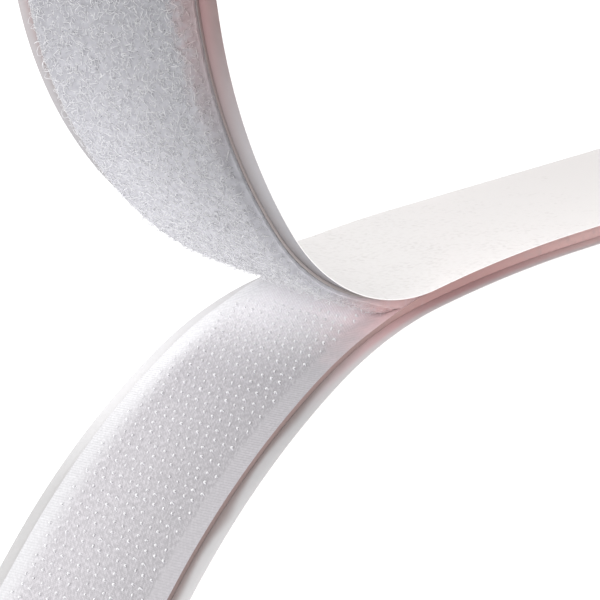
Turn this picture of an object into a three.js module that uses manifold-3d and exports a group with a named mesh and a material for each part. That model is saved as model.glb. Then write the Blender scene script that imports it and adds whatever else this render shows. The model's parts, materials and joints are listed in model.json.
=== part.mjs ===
// A roll of self-adhesive hook and loop tape. The two tapes are pressed together and wound on a paper core,
// a mated tail comes off the top of the roll, and its end is peeled open: the hook leg comes down and stands
// on the table, and the loop leg stands up. Each tape has an adhesive coat and a wider release liner on its
// back. Millimetres, +Z up. The roll's axis lies along Y and the tail runs to -X. The origin is the middle of
// the flat on which the roll stands.
import * as THREE from 'three';
import { mergeVertices } from 'three/addons/utils/BufferGeometryUtils.js';
import Module from 'manifold-3d';

// Widths of the tape and its liner
const TAPE_WIDTH = 25;
const LINER_WIDTH = 30;
const HOOK_SELVEDGE_WIDTH = 3;
const LOOP_SELVEDGE_WIDTH = 0.5;

// Thickness of each layer, and the thin line that separates two bonded layers
const LINER_THICKNESS = 0.12;
const ADHESIVE_THICKNESS = 0.12;
const GROUND_THICKNESS = 0.42;
const HOOK_BACKING = 0.12;
const BOND_LINE = 0.04;
const MATED_SPACE = 0.95;
const PILE_CLEARANCE = 0.1;

// Loop pile on the open leg: it is pressed flat at the peel line and springs up further along
const PILE_HEIGHT = 1.5;
const PILE_START_HEIGHT = 0.35;
const PILE_RISE_LENGTH = 12;
const PILE_EDGE_BEVEL = 0.6;

// Paper core and the winding on it
const CORE_BORE_RADIUS = 15;
const CORE_WALL = 2;
const CORE_CHAMFER = 0.3;
const CORE_SIDES = 48;
const CORE_CLEARANCE = 0.3;
const TURNS = 5;
const STEPS_PER_TURN = 20;
const TURN_CLEARANCE = 0.35;

// Runs of the tape, as arcs of a length and a bend radius; the tail leaves the roll downhill by its fall
const TAIL_FALL = 7.5;
const TAIL_STRAIGHT = 72.4;
const TAIL_BOW_LENGTH = 24.8;
const TAIL_BOW_RADIUS = 228;
const HOOK_BEND_LENGTH = 18;
const HOOK_BEND_RADIUS = 53;
const HOOK_DROOP_LENGTH = 30;
const HOOK_DROOP_RADIUS = 93;
const FOOT_BEND_RADIUS = 18;
const FOOT_FLAT_LENGTH = 6;
const TIP_RISE = 28;
const TIP_LENGTH = 14;
const PEEL_SLANT = 11.5;
const LOOP_BEND_LENGTH = 27;
const LOOP_BEND_RADIUS = 24;
const LOOP_RISE_LENGTH = 28;
const LOOP_RISE_RADIUS = 58.7;
const LOOP_FAR_RADIUS = 43;
const LOOP_TIP_LENGTH = 46;
const LOOP_TIP_RADIUS = 38;
const LOOP_LINER_HELD = 36;

// Clearance where one run of a tape meets the next
const RUN_CLEARANCE = 0.3;

// Hooks: bent strands in staggered rows between the selvedges
const HOOK_PITCH_ACROSS = 1.85;
const HOOK_PITCH_ALONG = 3.5;
const HOOK_HEIGHT = 0.8;
const HOOK_REACH = 0.5;
const HOOK_TIP_HEIGHT = 0.48;
const HOOK_BEND_LEAD = 0.075;
const HOOK_BEND_TILT = 45;
const HOOK_SIDES = 3;
const HOOK_STEM_RADIUS = 0.2;
const HOOK_ROOT_DEPTH = 0.06;
const HOOK_START = 10;
const HOOK_END_MARGIN = 1.5;

// Stations: the turn between two of them on a bend, their spacing where the loop leg warps, and their numbers
// along the tail
const STATION_TURN = 5;
const WARP_STATION = 1.5;
const TAIL_STEPS = 2;
const BOW_STEPS = 4;

const RAD = Math.PI / 180;
const WIND_STEP = 360 / STEPS_PER_TURN;
const HALF_STEP = WIND_STEP / 2;
const HALF_TAPE = TAPE_WIDTH / 2;
const HALF_LINER = LINER_WIDTH / 2;
const HALF_FIELD = HALF_TAPE - HOOK_SELVEDGE_WIDTH;
const HALF_PILE = HALF_TAPE - LOOP_SELVEDGE_WIDTH;

// Layer heights from the hook tape's face: the hook side lies below it, and the loop side above
const HOOK_GROUND_TOP = -HOOK_BACKING - BOND_LINE;
const HOOK_GROUND_LOW = -GROUND_THICKNESS;
const HOOK_GLUE_TOP = HOOK_GROUND_LOW - BOND_LINE;
const HOOK_GLUE_LOW = HOOK_GLUE_TOP - ADHESIVE_THICKNESS;
const HOOK_LINER_TOP = HOOK_GLUE_LOW - BOND_LINE;
const HOOK_LINER_LOW = HOOK_LINER_TOP - LINER_THICKNESS;
const LOOP_GROUND_LOW = BOND_LINE;
const LOOP_GROUND_TOP = GROUND_THICKNESS;
const LOOP_GLUE_LOW = LOOP_GROUND_TOP + BOND_LINE;
const LOOP_GLUE_TOP = LOOP_GLUE_LOW + ADHESIVE_THICKNESS;
const LOOP_LINER_LOW = LOOP_GLUE_TOP + BOND_LINE;
const LOOP_LINER_TOP = LOOP_LINER_LOW + LINER_THICKNESS;
const MATED_THICKNESS = MATED_SPACE + LOOP_LINER_TOP - HOOK_LINER_LOW;
const PITCH = MATED_THICKNESS + TURN_CLEARANCE;

const wasm = await Module();
wasm.setup();

// A point of a run holds its place in the XZ plane and its fall: the angle by which the tape, going to -X,
// runs downhill. The loop side of the tape is the side of the point's normal.
const point = (x, z, fall) => ({ x, z, fall });

const raised = (at, height) => point(
  at.x - height * Math.sin(at.fall * RAD),
  at.z + height * Math.cos(at.fall * RAD),
  at.fall,
);

// Continues a run from its last point by an arc; a bend above zero turns the tape downhill.
function arcPoints(start, length, bend, steps) {
  const points = [];
  let at = start;
  const turn = (bend * length) / steps / RAD;
  const stride = length / steps;
  for (let i = 0; i < steps; i += 1) {
    const heading = (at.fall + turn / 2) * RAD;
    at = point(at.x - stride * Math.cos(heading), at.z - stride * Math.sin(heading), at.fall + turn);
    points.push(at);
  }
  return points;
}

const stepsFor = (length, radius) => Math.max(1, Math.ceil(length / radius / RAD / STATION_TURN));

// A station is one line across the tape, from the near edge of the liner to its far edge.
const straightAcross = (at) => ({ near: at, far: at });

const slantedAcross = (near, far) => ({ near, far });

function stationPoint(station, y, height) {
  const share = (y + HALF_LINER) / LINER_WIDTH;
  const mix = (a, b) => a + (b - a) * share;
  const near = raised(station.near, height);
  const far = raised(station.far, height);
  return [mix(near.x, far.x), y, mix(near.z, far.z)];
}

// A station moved along the run towards a neighbour, by a distance on the near edge
function movedTowards(station, neighbour, distance) {
  const share = distance / Math.hypot(neighbour.near.x - station.near.x, neighbour.near.z - station.near.z);
  const mix = (a, b) => a + (b - a) * share;
  const move = (from, to) => point(mix(from.x, to.x), mix(from.z, to.z), mix(from.fall, to.fall));
  return { near: move(station.near, neighbour.near), far: move(station.far, neighbour.far) };
}

// Both ends of a run drawn in by half of the clearance between runs.
function drawnIn(stations, atStart, atEnd) {
  const run = stations.slice();
  const last = run.length - 1;
  if (atStart) run[0] = movedTowards(run[0], run[1], RUN_CLEARANCE / 2);
  if (atEnd) run[last] = movedTowards(run[last], run[last - 1], RUN_CLEARANCE / 2);
  return run;
}

function signedVolume(positions, indices) {
  const corner = (i) => new THREE.Vector3().fromArray(positions, indices[i] * 3);
  let total = 0;
  for (let i = 0; i < indices.length; i += 3) {
    total += corner(i).dot(corner(i + 1).cross(corner(i + 2)));
  }
  return total / 6;
}

// A closed body from its points and triangles, turned so that its faces point out.
function closedBody(positions, indices) {
  const turned = signedVolume(positions, indices) < 0 ? indices.slice().reverse() : indices;
  const geometry = new THREE.BufferGeometry();
  geometry.setAttribute('position', new THREE.Float32BufferAttribute(positions, 3));
  geometry.setIndex(turned);
  return geometry;
}

// A strip through the stations. Its section at each station is a convex ring of width and height pairs. Each
// face is split from its near edge to its far edge, so that bonded layers stay parallel where the tape warps.
function stripBody(stations, sectionAt) {
  const positions = [];
  const indices = [];
  const section = sectionAt(0);
  const sides = section.length;
  stations.forEach((station, i) => {
    sectionAt(i).forEach(([y, height]) => positions.push(...stationPoint(station, y, height)));
  });
  for (let i = 0; i + 1 < stations.length; i += 1) {
    for (let j = 0; j < sides; j += 1) {
      const next = (j + 1) % sides;
      const a = i * sides + j;
      const b = i * sides + next;
      if (section[j][0] > section[next][0]) {
        indices.push(a, b, a + sides, b, b + sides, a + sides);
      } else {
        indices.push(a, b, b + sides, a, b + sides, a + sides);
      }
    }
  }
  const last = (stations.length - 1) * sides;
  for (let j = 1; j + 1 < sides; j += 1) {
    indices.push(0, j + 1, j);
    indices.push(last, last + j, last + j + 1);
  }
  return closedBody(positions, indices);
}

// A flat layer of one width between two heights
function layerBody(stations, halfWidth, low, high) {
  const ring = [[-halfWidth, low], [halfWidth, low], [halfWidth, high], [-halfWidth, high]];
  return stripBody(stations, () => ring);
}

// The pile on the underside of the loop tape: bevelled along both edges, with its own height at each station
function pileBody(stations, heightAt) {
  return stripBody(stations, (i) => {
    const low = -heightAt(i);
    const bevel = Math.min(PILE_EDGE_BEVEL, heightAt(i) / 2);
    const face = HALF_PILE - PILE_EDGE_BEVEL;
    return [
      [-HALF_PILE, 0], [-HALF_PILE, low + bevel], [-face, low],
      [face, low], [HALF_PILE, low + bevel], [HALF_PILE, 0],
    ];
  });
}

// The winding: the spiral runs inwards from the point where the tail leaves the roll. Its radius holds still
// over the step at the bottom of each turn, so that the roll stands on a level flat.
function spiralPoints() {
  const coreRadius = CORE_BORE_RADIUS + CORE_WALL;
  const innerRadius = (coreRadius + CORE_CLEARANCE) / Math.cos(HALF_STEP * RAD) - HOOK_LINER_LOW;
  const bottomStep = STEPS_PER_TURN / 2;
  const drop = PITCH / (STEPS_PER_TURN - 1);
  let radius = innerRadius + TURNS * PITCH;
  const points = [];
  for (let k = 0; k <= TURNS * STEPS_PER_TURN; k += 1) {
    const fall = k === 0 ? TAIL_FALL : HALF_STEP - k * WIND_STEP;
    points.push({ radius, fall });
    if (k % STEPS_PER_TURN !== bottomStep) radius -= drop;
  }
  return points;
}

const spiral = spiralPoints();
const bottomRadius = spiral[STEPS_PER_TURN / 2].radius + MATED_SPACE + LOOP_LINER_TOP;
const ROLL_HEIGHT = bottomRadius * Math.cos(HALF_STEP * RAD);
const spiralPoint = ({ radius, fall }) => raised(point(0, ROLL_HEIGHT, fall), radius);
const windingStations = spiral.map((at) => straightAcross(spiralPoint(at)));

// Least distance between the strip's own turns, measured on the points of its two faces
function leastTurnGap(low, high) {
  let least = Infinity;
  for (let k = 0; k + STEPS_PER_TURN < spiral.length; k += 1) {
    const outer = spiral[k].radius + low;
    const inner = spiral[k + STEPS_PER_TURN].radius + high;
    least = Math.min(least, (outer - inner) * Math.cos(HALF_STEP * RAD));
  }
  return least;
}

// Tail: straight off the roll, then a slow bow down to the peel line
const departure = spiralPoint(spiral[0]);
const tailStraight = arcPoints(departure, TAIL_STRAIGHT, 0, TAIL_STEPS);
const bowStart = tailStraight[tailStraight.length - 1];
const bow = arcPoints(bowStart, TAIL_BOW_LENGTH, 1 / TAIL_BOW_RADIUS, BOW_STEPS);
const farBow = arcPoints(bowStart, TAIL_BOW_LENGTH - PEEL_SLANT, 1 / TAIL_BOW_RADIUS, BOW_STEPS);
const peel = bow[bow.length - 1];
const farPeel = farBow[farBow.length - 1];
const tailPoints = [departure, ...tailStraight, ...bow];
const tailStations = tailPoints.map(straightAcross);
const loopSide = (at) => raised(at, MATED_SPACE);
const loopTailStations = [
  ...[departure, ...tailStraight].map((at) => straightAcross(loopSide(at))),
  ...bow.map((at, i) => slantedAcross(loopSide(at), loopSide(farBow[i]))),
];

// Hook leg: it bends down from the peel line, droops, turns on a flat foot and lifts its tip. The straight
// stretch above the foot is as long as the drop to the table needs.
function hookLegPoints() {
  const bendSteps = stepsFor(HOOK_BEND_LENGTH, HOOK_BEND_RADIUS);
  const bend = arcPoints(peel, HOOK_BEND_LENGTH, 1 / HOOK_BEND_RADIUS, bendSteps);
  const droopSteps = stepsFor(HOOK_DROOP_LENGTH, HOOK_DROOP_RADIUS);
  const droop = arcPoints(bend[bend.length - 1], HOOK_DROOP_LENGTH, 1 / HOOK_DROOP_RADIUS, droopSteps);
  const droopEnd = droop[droop.length - 1];
  const footTurn = droopEnd.fall * RAD;
  const footLength = FOOT_BEND_RADIUS * footTurn;
  const footSteps = stepsFor(footLength, FOOT_BEND_RADIUS);
  const footFrom = (start) => arcPoints(start, footLength, -1 / FOOT_BEND_RADIUS, footSteps);
  const trial = footFrom(droopEnd);
  const excess = trial[trial.length - 1].z + HOOK_LINER_LOW;
  const straightLength = excess / Math.sin(footTurn);
  const straight = arcPoints(droopEnd, straightLength, 0, 1);
  const foot = footFrom(straight[0]);
  const flat = arcPoints(foot[foot.length - 1], FOOT_FLAT_LENGTH, 0, 1);
  const tipTurnLength = FOOT_BEND_RADIUS * TIP_RISE * RAD;
  const tipTurnSteps = stepsFor(tipTurnLength, FOOT_BEND_RADIUS);
  const tipTurn = arcPoints(flat[0], tipTurnLength, -1 / FOOT_BEND_RADIUS, tipTurnSteps);
  const tip = arcPoints(tipTurn[tipTurn.length - 1], TIP_LENGTH, 0, 1);
  return { upper: [...bend, ...droop], lower: [...straight, ...foot], flat, end: tipTurn, tip };
}

const hookLeg = hookLegPoints();
const hookLegToTip = [...hookLeg.upper, ...hookLeg.lower, ...hookLeg.flat, ...hookLeg.end];
const tipStart = straightAcross(hookLegToTip[hookLegToTip.length - 1]);
const tipEnd = straightAcross(hookLeg.tip[0]);
const hookRunToTip = [...tailStations, ...hookLegToTip.map(straightAcross)];
const hookRun = [...hookRunToTip, tipEnd];

// Loop leg: it bends up from a slanted peel line. Its far edge leaves the hook tape earlier, so it takes a
// wider arc, and both edges then roll over together.
function loopLegStations() {
  const openLength = LOOP_BEND_LENGTH + LOOP_RISE_LENGTH;
  const farScale = (openLength + PEEL_SLANT) / openLength;
  const bendSteps = Math.ceil(LOOP_BEND_LENGTH / WARP_STATION);
  const riseSteps = Math.ceil(LOOP_RISE_LENGTH / WARP_STATION);
  const nearBend = arcPoints(loopSide(peel), LOOP_BEND_LENGTH, -1 / LOOP_BEND_RADIUS, bendSteps);
  const nearBendEnd = nearBend[nearBend.length - 1];
  const nearRise = arcPoints(nearBendEnd, LOOP_RISE_LENGTH, -1 / LOOP_RISE_RADIUS, riseSteps);
  const farBend = arcPoints(loopSide(farPeel), LOOP_BEND_LENGTH * farScale, -1 / LOOP_FAR_RADIUS, bendSteps);
  const farBendEnd = farBend[farBend.length - 1];
  const farRise = arcPoints(farBendEnd, LOOP_RISE_LENGTH * farScale, -1 / LOOP_FAR_RADIUS, riseSteps);
  const near = [loopSide(peel), ...nearBend, ...nearRise];
  const far = [loopSide(farPeel), ...farBend, ...farRise];
  const tipSteps = stepsFor(LOOP_TIP_LENGTH, LOOP_TIP_RADIUS);
  const tipOf = (run) => arcPoints(run[run.length - 1], LOOP_TIP_LENGTH, 1 / LOOP_TIP_RADIUS, tipSteps);
  const nearRun = [...near, ...tipOf(near)];
  const farRun = [...far, ...tipOf(far)];
  return nearRun.map((at, i) => slantedAcross(at, farRun[i]));
}

const loopLegRun = drawnIn(loopLegStations(), true, false);
const stride = (a, b) => Math.hypot(b.near.x - a.near.x, b.near.z - a.near.z);

function runLengths(stations) {
  const lengths = [0];
  for (let i = 1; i < stations.length; i += 1) {
    lengths.push(lengths[i - 1] + stride(stations[i - 1], stations[i]));
  }
  return lengths;
}

// A run cut in two at the first station past a distance along its near edge
function cutRun(stations, distance) {
  const cut = runLengths(stations).findIndex((length) => length > distance);
  return [stations.slice(0, cut + 1), stations.slice(cut)];
}

const loopLegLengths = runLengths(loopLegRun);

function loopPileHeight(i) {
  const share = Math.min(1, loopLegLengths[i] / PILE_RISE_LENGTH);
  return PILE_START_HEIGHT + (PILE_HEIGHT - PILE_START_HEIGHT) * share;
}

// Finishes: white woven tape, clear adhesive, paper liner and brown board
const finish = (color, roughness) => new THREE.MeshStandardMaterial({ color, roughness, metalness: 0 });
const hookTapeFinish = finish(0xd8d6db, 0.7);
const hookFinish = finish(0xf4f4f6, 0.35);
const loopTapeFinish = finish(0xd2d0d5, 0.85);
const pileFinish = finish(0xc6c5ca, 0.95);
const adhesiveFinish = finish(0xc9a5a2, 0.4);
const linerFinish = finish(0xf3f1ef, 0.55);
const coreFinish = finish(0xb08d63, 0.9);

const roll = new THREE.Group();

function addPiece(name, geometry, material) {
  const mesh = new THREE.Mesh(geometry, material);
  mesh.name = name;
  roll.add(mesh);
  return mesh;
}

// Core: a paper tube as wide as the liner
function coreBody() {
  const outer = CORE_BORE_RADIUS + CORE_WALL;
  const profile = [
    [CORE_BORE_RADIUS, -HALF_LINER], [outer - CORE_CHAMFER, -HALF_LINER], [outer, -HALF_LINER + CORE_CHAMFER],
    [outer, HALF_LINER - CORE_CHAMFER], [outer - CORE_CHAMFER, HALF_LINER], [CORE_BORE_RADIUS, HALF_LINER],
    [CORE_BORE_RADIUS, -HALF_LINER],
  ].map(([r, y]) => new THREE.Vector2(r, y));
  const lathe = new THREE.LatheGeometry(profile, CORE_SIDES);
  lathe.deleteAttribute('normal');
  lathe.deleteAttribute('uv');
  const merged = mergeVertices(lathe);
  return closedBody(Array.from(merged.attributes.position.array), Array.from(merged.index.array));
}

addPiece('core', coreBody(), coreFinish).position.z = ROLL_HEIGHT;

// Wound tape: each layer is one unbroken strip, from the core to the place where the tail leaves the roll
const woundRun = drawnIn(windingStations, true, false);
const woundLayers = [
  ['wound_hook_liner', HALF_LINER, HOOK_LINER_LOW, HOOK_LINER_TOP, linerFinish],
  ['wound_hook_tape', HALF_TAPE, HOOK_GLUE_LOW, 0, hookTapeFinish],
  ['wound_loop_tape', HALF_TAPE, PILE_CLEARANCE, MATED_SPACE + LOOP_GLUE_TOP, loopTapeFinish],
  ['wound_loop_liner', HALF_LINER, MATED_SPACE + LOOP_LINER_LOW, MATED_SPACE + LOOP_LINER_TOP, linerFinish],
];
for (const [name, halfWidth, low, high, material] of woundLayers) {
  addPiece(name, layerBody(woundRun, halfWidth, low, high), material);
  console.log(`${name}: least gap to itself ${leastTurnGap(low, high).toFixed(2)} mm`);
}

// Hook side: ground weave, adhesive coat and liner, from the roll to the tip of the hook leg
const hookTapeRun = drawnIn(hookRun, true, false);
const hookLinerRun = drawnIn(hookRunToTip, true, true);
const hookFlapRun = drawnIn([tipStart, tipEnd], true, false);
const hookGround = (run) => layerBody(run, HALF_TAPE, HOOK_GROUND_LOW, HOOK_GROUND_TOP);
const hookGlue = (run) => layerBody(run, HALF_TAPE, HOOK_GLUE_LOW, HOOK_GLUE_TOP);
const hookLiner = (run) => layerBody(run, HALF_LINER, HOOK_LINER_LOW, HOOK_LINER_TOP);
addPiece('hook_ground', hookGround(hookTapeRun), hookTapeFinish);
addPiece('hook_adhesive', hookGlue(hookTapeRun), adhesiveFinish);
addPiece('hook_liner', hookLiner(hookLinerRun), linerFinish);
addPiece('hook_liner_flap', hookLiner(hookFlapRun), linerFinish);

// Loop side of the tail, pressed into the hooks
const loopTailRun = drawnIn(loopTailStations, true, true);
const tailPileHeight = MATED_SPACE - PILE_CLEARANCE;
const loopGround = (run) => layerBody(run, HALF_TAPE, LOOP_GROUND_LOW, LOOP_GROUND_TOP);
const loopGlue = (run) => layerBody(run, HALF_TAPE, LOOP_GLUE_LOW, LOOP_GLUE_TOP);
const loopLiner = (run) => layerBody(run, HALF_LINER, LOOP_LINER_LOW, LOOP_LINER_TOP);
addPiece('tail_loop_pile', pileBody(loopTailRun, () => tailPileHeight), pileFinish);
addPiece('tail_loop_ground', loopGround(loopTailRun), loopTapeFinish);
addPiece('tail_loop_adhesive', loopGlue(loopTailRun), adhesiveFinish);
addPiece('tail_loop_liner', loopLiner(loopTailRun), linerFinish);

// Loop leg: pile, ground weave and adhesive coat, and the liner in a stretch that holds and one that peels
const [linerHeld, linerLoose] = cutRun(loopLegRun, LOOP_LINER_HELD);
const loopLinerHeld = drawnIn(linerHeld, false, true);
const loopLinerLoose = drawnIn(linerLoose, true, false);
addPiece('loop_leg_pile', pileBody(loopLegRun, loopPileHeight), pileFinish);
addPiece('loop_leg_ground', loopGround(loopLegRun), loopTapeFinish);
addPiece('loop_leg_adhesive', loopGlue(loopLegRun), adhesiveFinish);
addPiece('loop_leg_liner', loopLiner(loopLinerHeld), linerFinish);
addPiece('loop_liner_flap', loopLiner(loopLinerLoose), linerFinish);

// Joins bodies into one
function joined(geometries) {
  const solids = geometries.map((geometry) => {
    const vertProperties = new Float32Array(geometry.attributes.position.array);
    const triVerts = new Uint32Array(geometry.index.array);
    return new wasm.Manifold(new wasm.Mesh({ numProp: 3, vertProperties, triVerts }));
  });
  const mesh = wasm.Manifold.union(solids).getMesh();
  return closedBody(Array.from(mesh.vertProperties), Array.from(mesh.triVerts));
}

// One hook: a three-sided strand that stands on the backing and bends over along the tape to a point
function hookStrand(at, y, lean) {
  const along = new THREE.Vector3(-Math.cos(at.fall * RAD), 0, -Math.sin(at.fall * RAD)).multiplyScalar(lean);
  const up = new THREE.Vector3(-Math.sin(at.fall * RAD), 0, Math.cos(at.fall * RAD));
  const across = new THREE.Vector3(0, 1, 0);
  const root = new THREE.Vector3(at.x, y, at.z);
  const place = (forward, height, aside) => root.clone()
    .addScaledVector(along, forward)
    .addScaledVector(up, height)
    .addScaledVector(across, aside);
  const ring = (forward, height, tilt) => Array.from({ length: HOOK_SIDES }, (_, j) => {
    const angle = (2 * Math.PI * j) / HOOK_SIDES;
    const lead = -HOOK_STEM_RADIUS * Math.cos(angle);
    const aside = HOOK_STEM_RADIUS * Math.sin(angle);
    return place(forward + lead * Math.cos(tilt), height - lead * Math.sin(tilt), aside);
  });
  const foot = ring(0, -HOOK_ROOT_DEPTH, 0);
  const bend = ring(HOOK_BEND_LEAD, HOOK_HEIGHT - HOOK_STEM_RADIUS, HOOK_BEND_TILT * RAD);
  const tip = place(HOOK_REACH, HOOK_TIP_HEIGHT, 0);
  const corners = [...foot, ...bend, tip].flatMap((corner) => corner.toArray());
  const tipIndex = 2 * HOOK_SIDES;
  const faces = [0, 2, 1];
  for (let j = 0; j < HOOK_SIDES; j += 1) {
    const k = (j + 1) % HOOK_SIDES;
    const bendJ = HOOK_SIDES + j;
    const bendK = HOOK_SIDES + k;
    faces.push(j, k, bendK, j, bendK, bendJ);
    faces.push(bendJ, bendK, tipIndex);
  }
  return closedBody(corners, faces);
}

// The point of a run at a distance along it
function pointAlong(points, lengths, distance) {
  let i = 1;
  while (i < points.length - 1 && lengths[i] < distance) i += 1;
  const share = (distance - lengths[i - 1]) / (lengths[i] - lengths[i - 1]);
  const a = points[i - 1];
  const b = points[i];
  const fall = Math.atan2(a.z - b.z, a.x - b.x) / RAD;
  return point(a.x + (b.x - a.x) * share, a.z + (b.z - a.z) * share, fall);
}

// Hook rows: a slice of the backing and the hooks on it, in three stretches of the hook leg
function hookRows(points, firstRow, startMargin) {
  const stations = points.map(straightAcross);
  const lengths = runLengths(stations);
  const total = lengths[lengths.length - 1];
  const bodies = [layerBody(drawnIn(stations, true, true), HALF_TAPE, -HOOK_BACKING, 0)];
  let row = firstRow;
  for (let s = startMargin; s < total - HOOK_END_MARGIN; s += HOOK_PITCH_ALONG / 2) {
    const at = pointAlong(points, lengths, s);
    const lean = row % 2 ? 1 : -1;
    const first = row % 2 ? HOOK_PITCH_ACROSS / 2 : 0;
    for (let y = first; y <= HALF_FIELD; y += 2 * HOOK_PITCH_ACROSS) {
      bodies.push(hookStrand(at, y, lean));
      if (y > 0) bodies.push(hookStrand(at, -y, lean));
    }
    row += 1;
  }
  return { body: joined(bodies), rows: row, count: bodies.length - 1 };
}

const upperRows = hookRows([peel, ...hookLeg.upper], 0, HOOK_START);
const lowerStart = hookLeg.upper[hookLeg.upper.length - 1];
const lowerRows = hookRows([lowerStart, ...hookLeg.lower], upperRows.rows, HOOK_END_MARGIN);
const endStart = hookLeg.lower[hookLeg.lower.length - 1];
const endPoints = [endStart, ...hookLeg.flat, ...hookLeg.end, ...hookLeg.tip];
const endRows = hookRows(endPoints, lowerRows.rows, HOOK_END_MARGIN);
addPiece('hook_rows_upper', upperRows.body, hookFinish);
addPiece('hook_rows_lower', lowerRows.body, hookFinish);
addPiece('hook_rows_end', endRows.body, hookFinish);
console.log(`hooks: ${upperRows.count + lowerRows.count + endRows.count}`);

export default roll;
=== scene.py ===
"""The finished look of a hook and loop tape roll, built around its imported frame.

Both tapes are woven ribbons with a paper liner on an adhesive back. They run pressed together from the
paper core to the end of the tail, where they are peeled apart into a hook leg and a loop leg. Sizes are in
millimetres and degrees, and meshes in metres.
"""

import json
import logging
import math
from dataclasses import dataclass
from enum import Enum
from typing import Callable, Sequence

import bpy
import numpy as np
from mathutils import Matrix, Vector

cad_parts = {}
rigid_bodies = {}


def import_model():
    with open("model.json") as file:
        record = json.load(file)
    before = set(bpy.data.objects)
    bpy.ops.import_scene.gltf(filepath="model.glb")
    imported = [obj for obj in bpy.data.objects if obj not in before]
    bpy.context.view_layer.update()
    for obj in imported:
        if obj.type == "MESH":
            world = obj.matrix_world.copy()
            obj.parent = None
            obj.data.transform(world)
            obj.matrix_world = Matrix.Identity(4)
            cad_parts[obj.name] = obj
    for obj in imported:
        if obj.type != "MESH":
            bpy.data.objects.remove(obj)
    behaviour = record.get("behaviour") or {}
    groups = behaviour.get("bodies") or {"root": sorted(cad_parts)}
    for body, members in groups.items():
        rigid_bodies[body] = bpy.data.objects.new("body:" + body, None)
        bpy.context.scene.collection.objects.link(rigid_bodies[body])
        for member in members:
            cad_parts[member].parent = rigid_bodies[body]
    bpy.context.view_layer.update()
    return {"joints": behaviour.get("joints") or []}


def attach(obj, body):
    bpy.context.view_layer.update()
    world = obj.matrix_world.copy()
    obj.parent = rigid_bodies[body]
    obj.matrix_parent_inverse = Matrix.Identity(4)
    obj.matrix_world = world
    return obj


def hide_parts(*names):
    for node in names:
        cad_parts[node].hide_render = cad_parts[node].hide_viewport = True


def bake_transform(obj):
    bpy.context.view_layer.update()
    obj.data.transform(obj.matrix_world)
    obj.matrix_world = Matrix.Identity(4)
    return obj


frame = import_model()
LOG = logging.getLogger("tape_roll")
MM = 0.001
FULL_TURN = 2 * math.pi
Colour = tuple[float, float, float]
Shades = tuple[Colour, Colour]
Span = tuple[float, float]
Arc = tuple[float, float]
Point = tuple[float, float, float]
Faces = list[tuple[int, ...]]
Heights = Callable[[np.ndarray, np.ndarray], np.ndarray]
Socket = bpy.types.NodeSocket
Feeds = dict[str | int, object]


class Body(str, Enum):
    """Bodies of the frame that pieces ride on."""

    ROLL = "roll"
    LOOP_LEG = "loop_leg"
    LOOP_FLAP = "loop_liner_flap"
    HOOK_FLAP = "hook_liner_flap"


class Slot(str, Enum):
    """Material slots of the record."""

    CORE = "core_board"
    LINER = "liner"
    HOOK_TAPE = "hook_tape"
    LOOP_TAPE = "loop_tape"
    PILE = "loop_pile"
    HOOKS = "hooks"
    ADHESIVE = "adhesive"


@dataclass(frozen=True)
class TapeSizes:
    """Sizes of the tapes' layers and of the path that they follow. An arc is a length and a radius."""

    tape_width: float = 25.0
    liner_width: float = 30.0
    selvedge: float = 3.0
    liner: float = 0.12
    adhesive: float = 0.12
    ground: float = 0.42
    bond: float = 0.02
    mated_space: float = 0.95
    core_bore: float = 15.0
    core_wall: float = 2.0
    core_clearance: float = 0.3
    turns: int = 5
    steps_per_turn: int = 20
    turn_clearance: float = 0.35
    tail_fall: float = 7.5
    tail_straight: float = 72.4
    tail_bow: Arc = (24.8, 228.0)
    hook_bend: Arc = (18.0, 53.0)
    hook_droop: Arc = (30.0, 93.0)
    foot_radius: float = 18.0
    foot_flat: float = 6.0
    tip_rise: float = 28.0
    tip_length: float = 14.0
    peel_slant: float = 11.5
    loop_bend: Arc = (27.0, 24.0)
    loop_rise: Arc = (28.0, 58.7)
    loop_far_radius: float = 43.0
    loop_tip: Arc = (46.0, 38.0)
    liner_held: float = 37.0

    @property
    def half_tape(self) -> float:
        """Half of the tape's width."""
        return self.tape_width / 2

    @property
    def half_liner(self) -> float:
        """Half of the liner's width."""
        return self.liner_width / 2

    @property
    def half_field(self) -> float:
        """Half of the width between the selvedges."""
        return self.half_tape - self.selvedge

    @property
    def glue_span(self) -> Span:
        """Distances from a tape's face to the front and the back of its adhesive."""
        return self.ground + self.bond, self.ground + 2 * self.bond + self.adhesive

    @property
    def back_depth(self) -> float:
        """Distance from a tape's face to the back of its liner."""
        return self.ground + 4 * self.bond + self.adhesive + self.liner

    @property
    def liner_span(self) -> Span:
        """Distances from a tape's face to the front and the back of its liner."""
        return self.back_depth - self.liner, self.back_depth

    @property
    def pitch(self) -> float:
        """Growth of the winding's radius over one turn."""
        return self.mated_space + 2 * self.back_depth + self.turn_clearance


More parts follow.
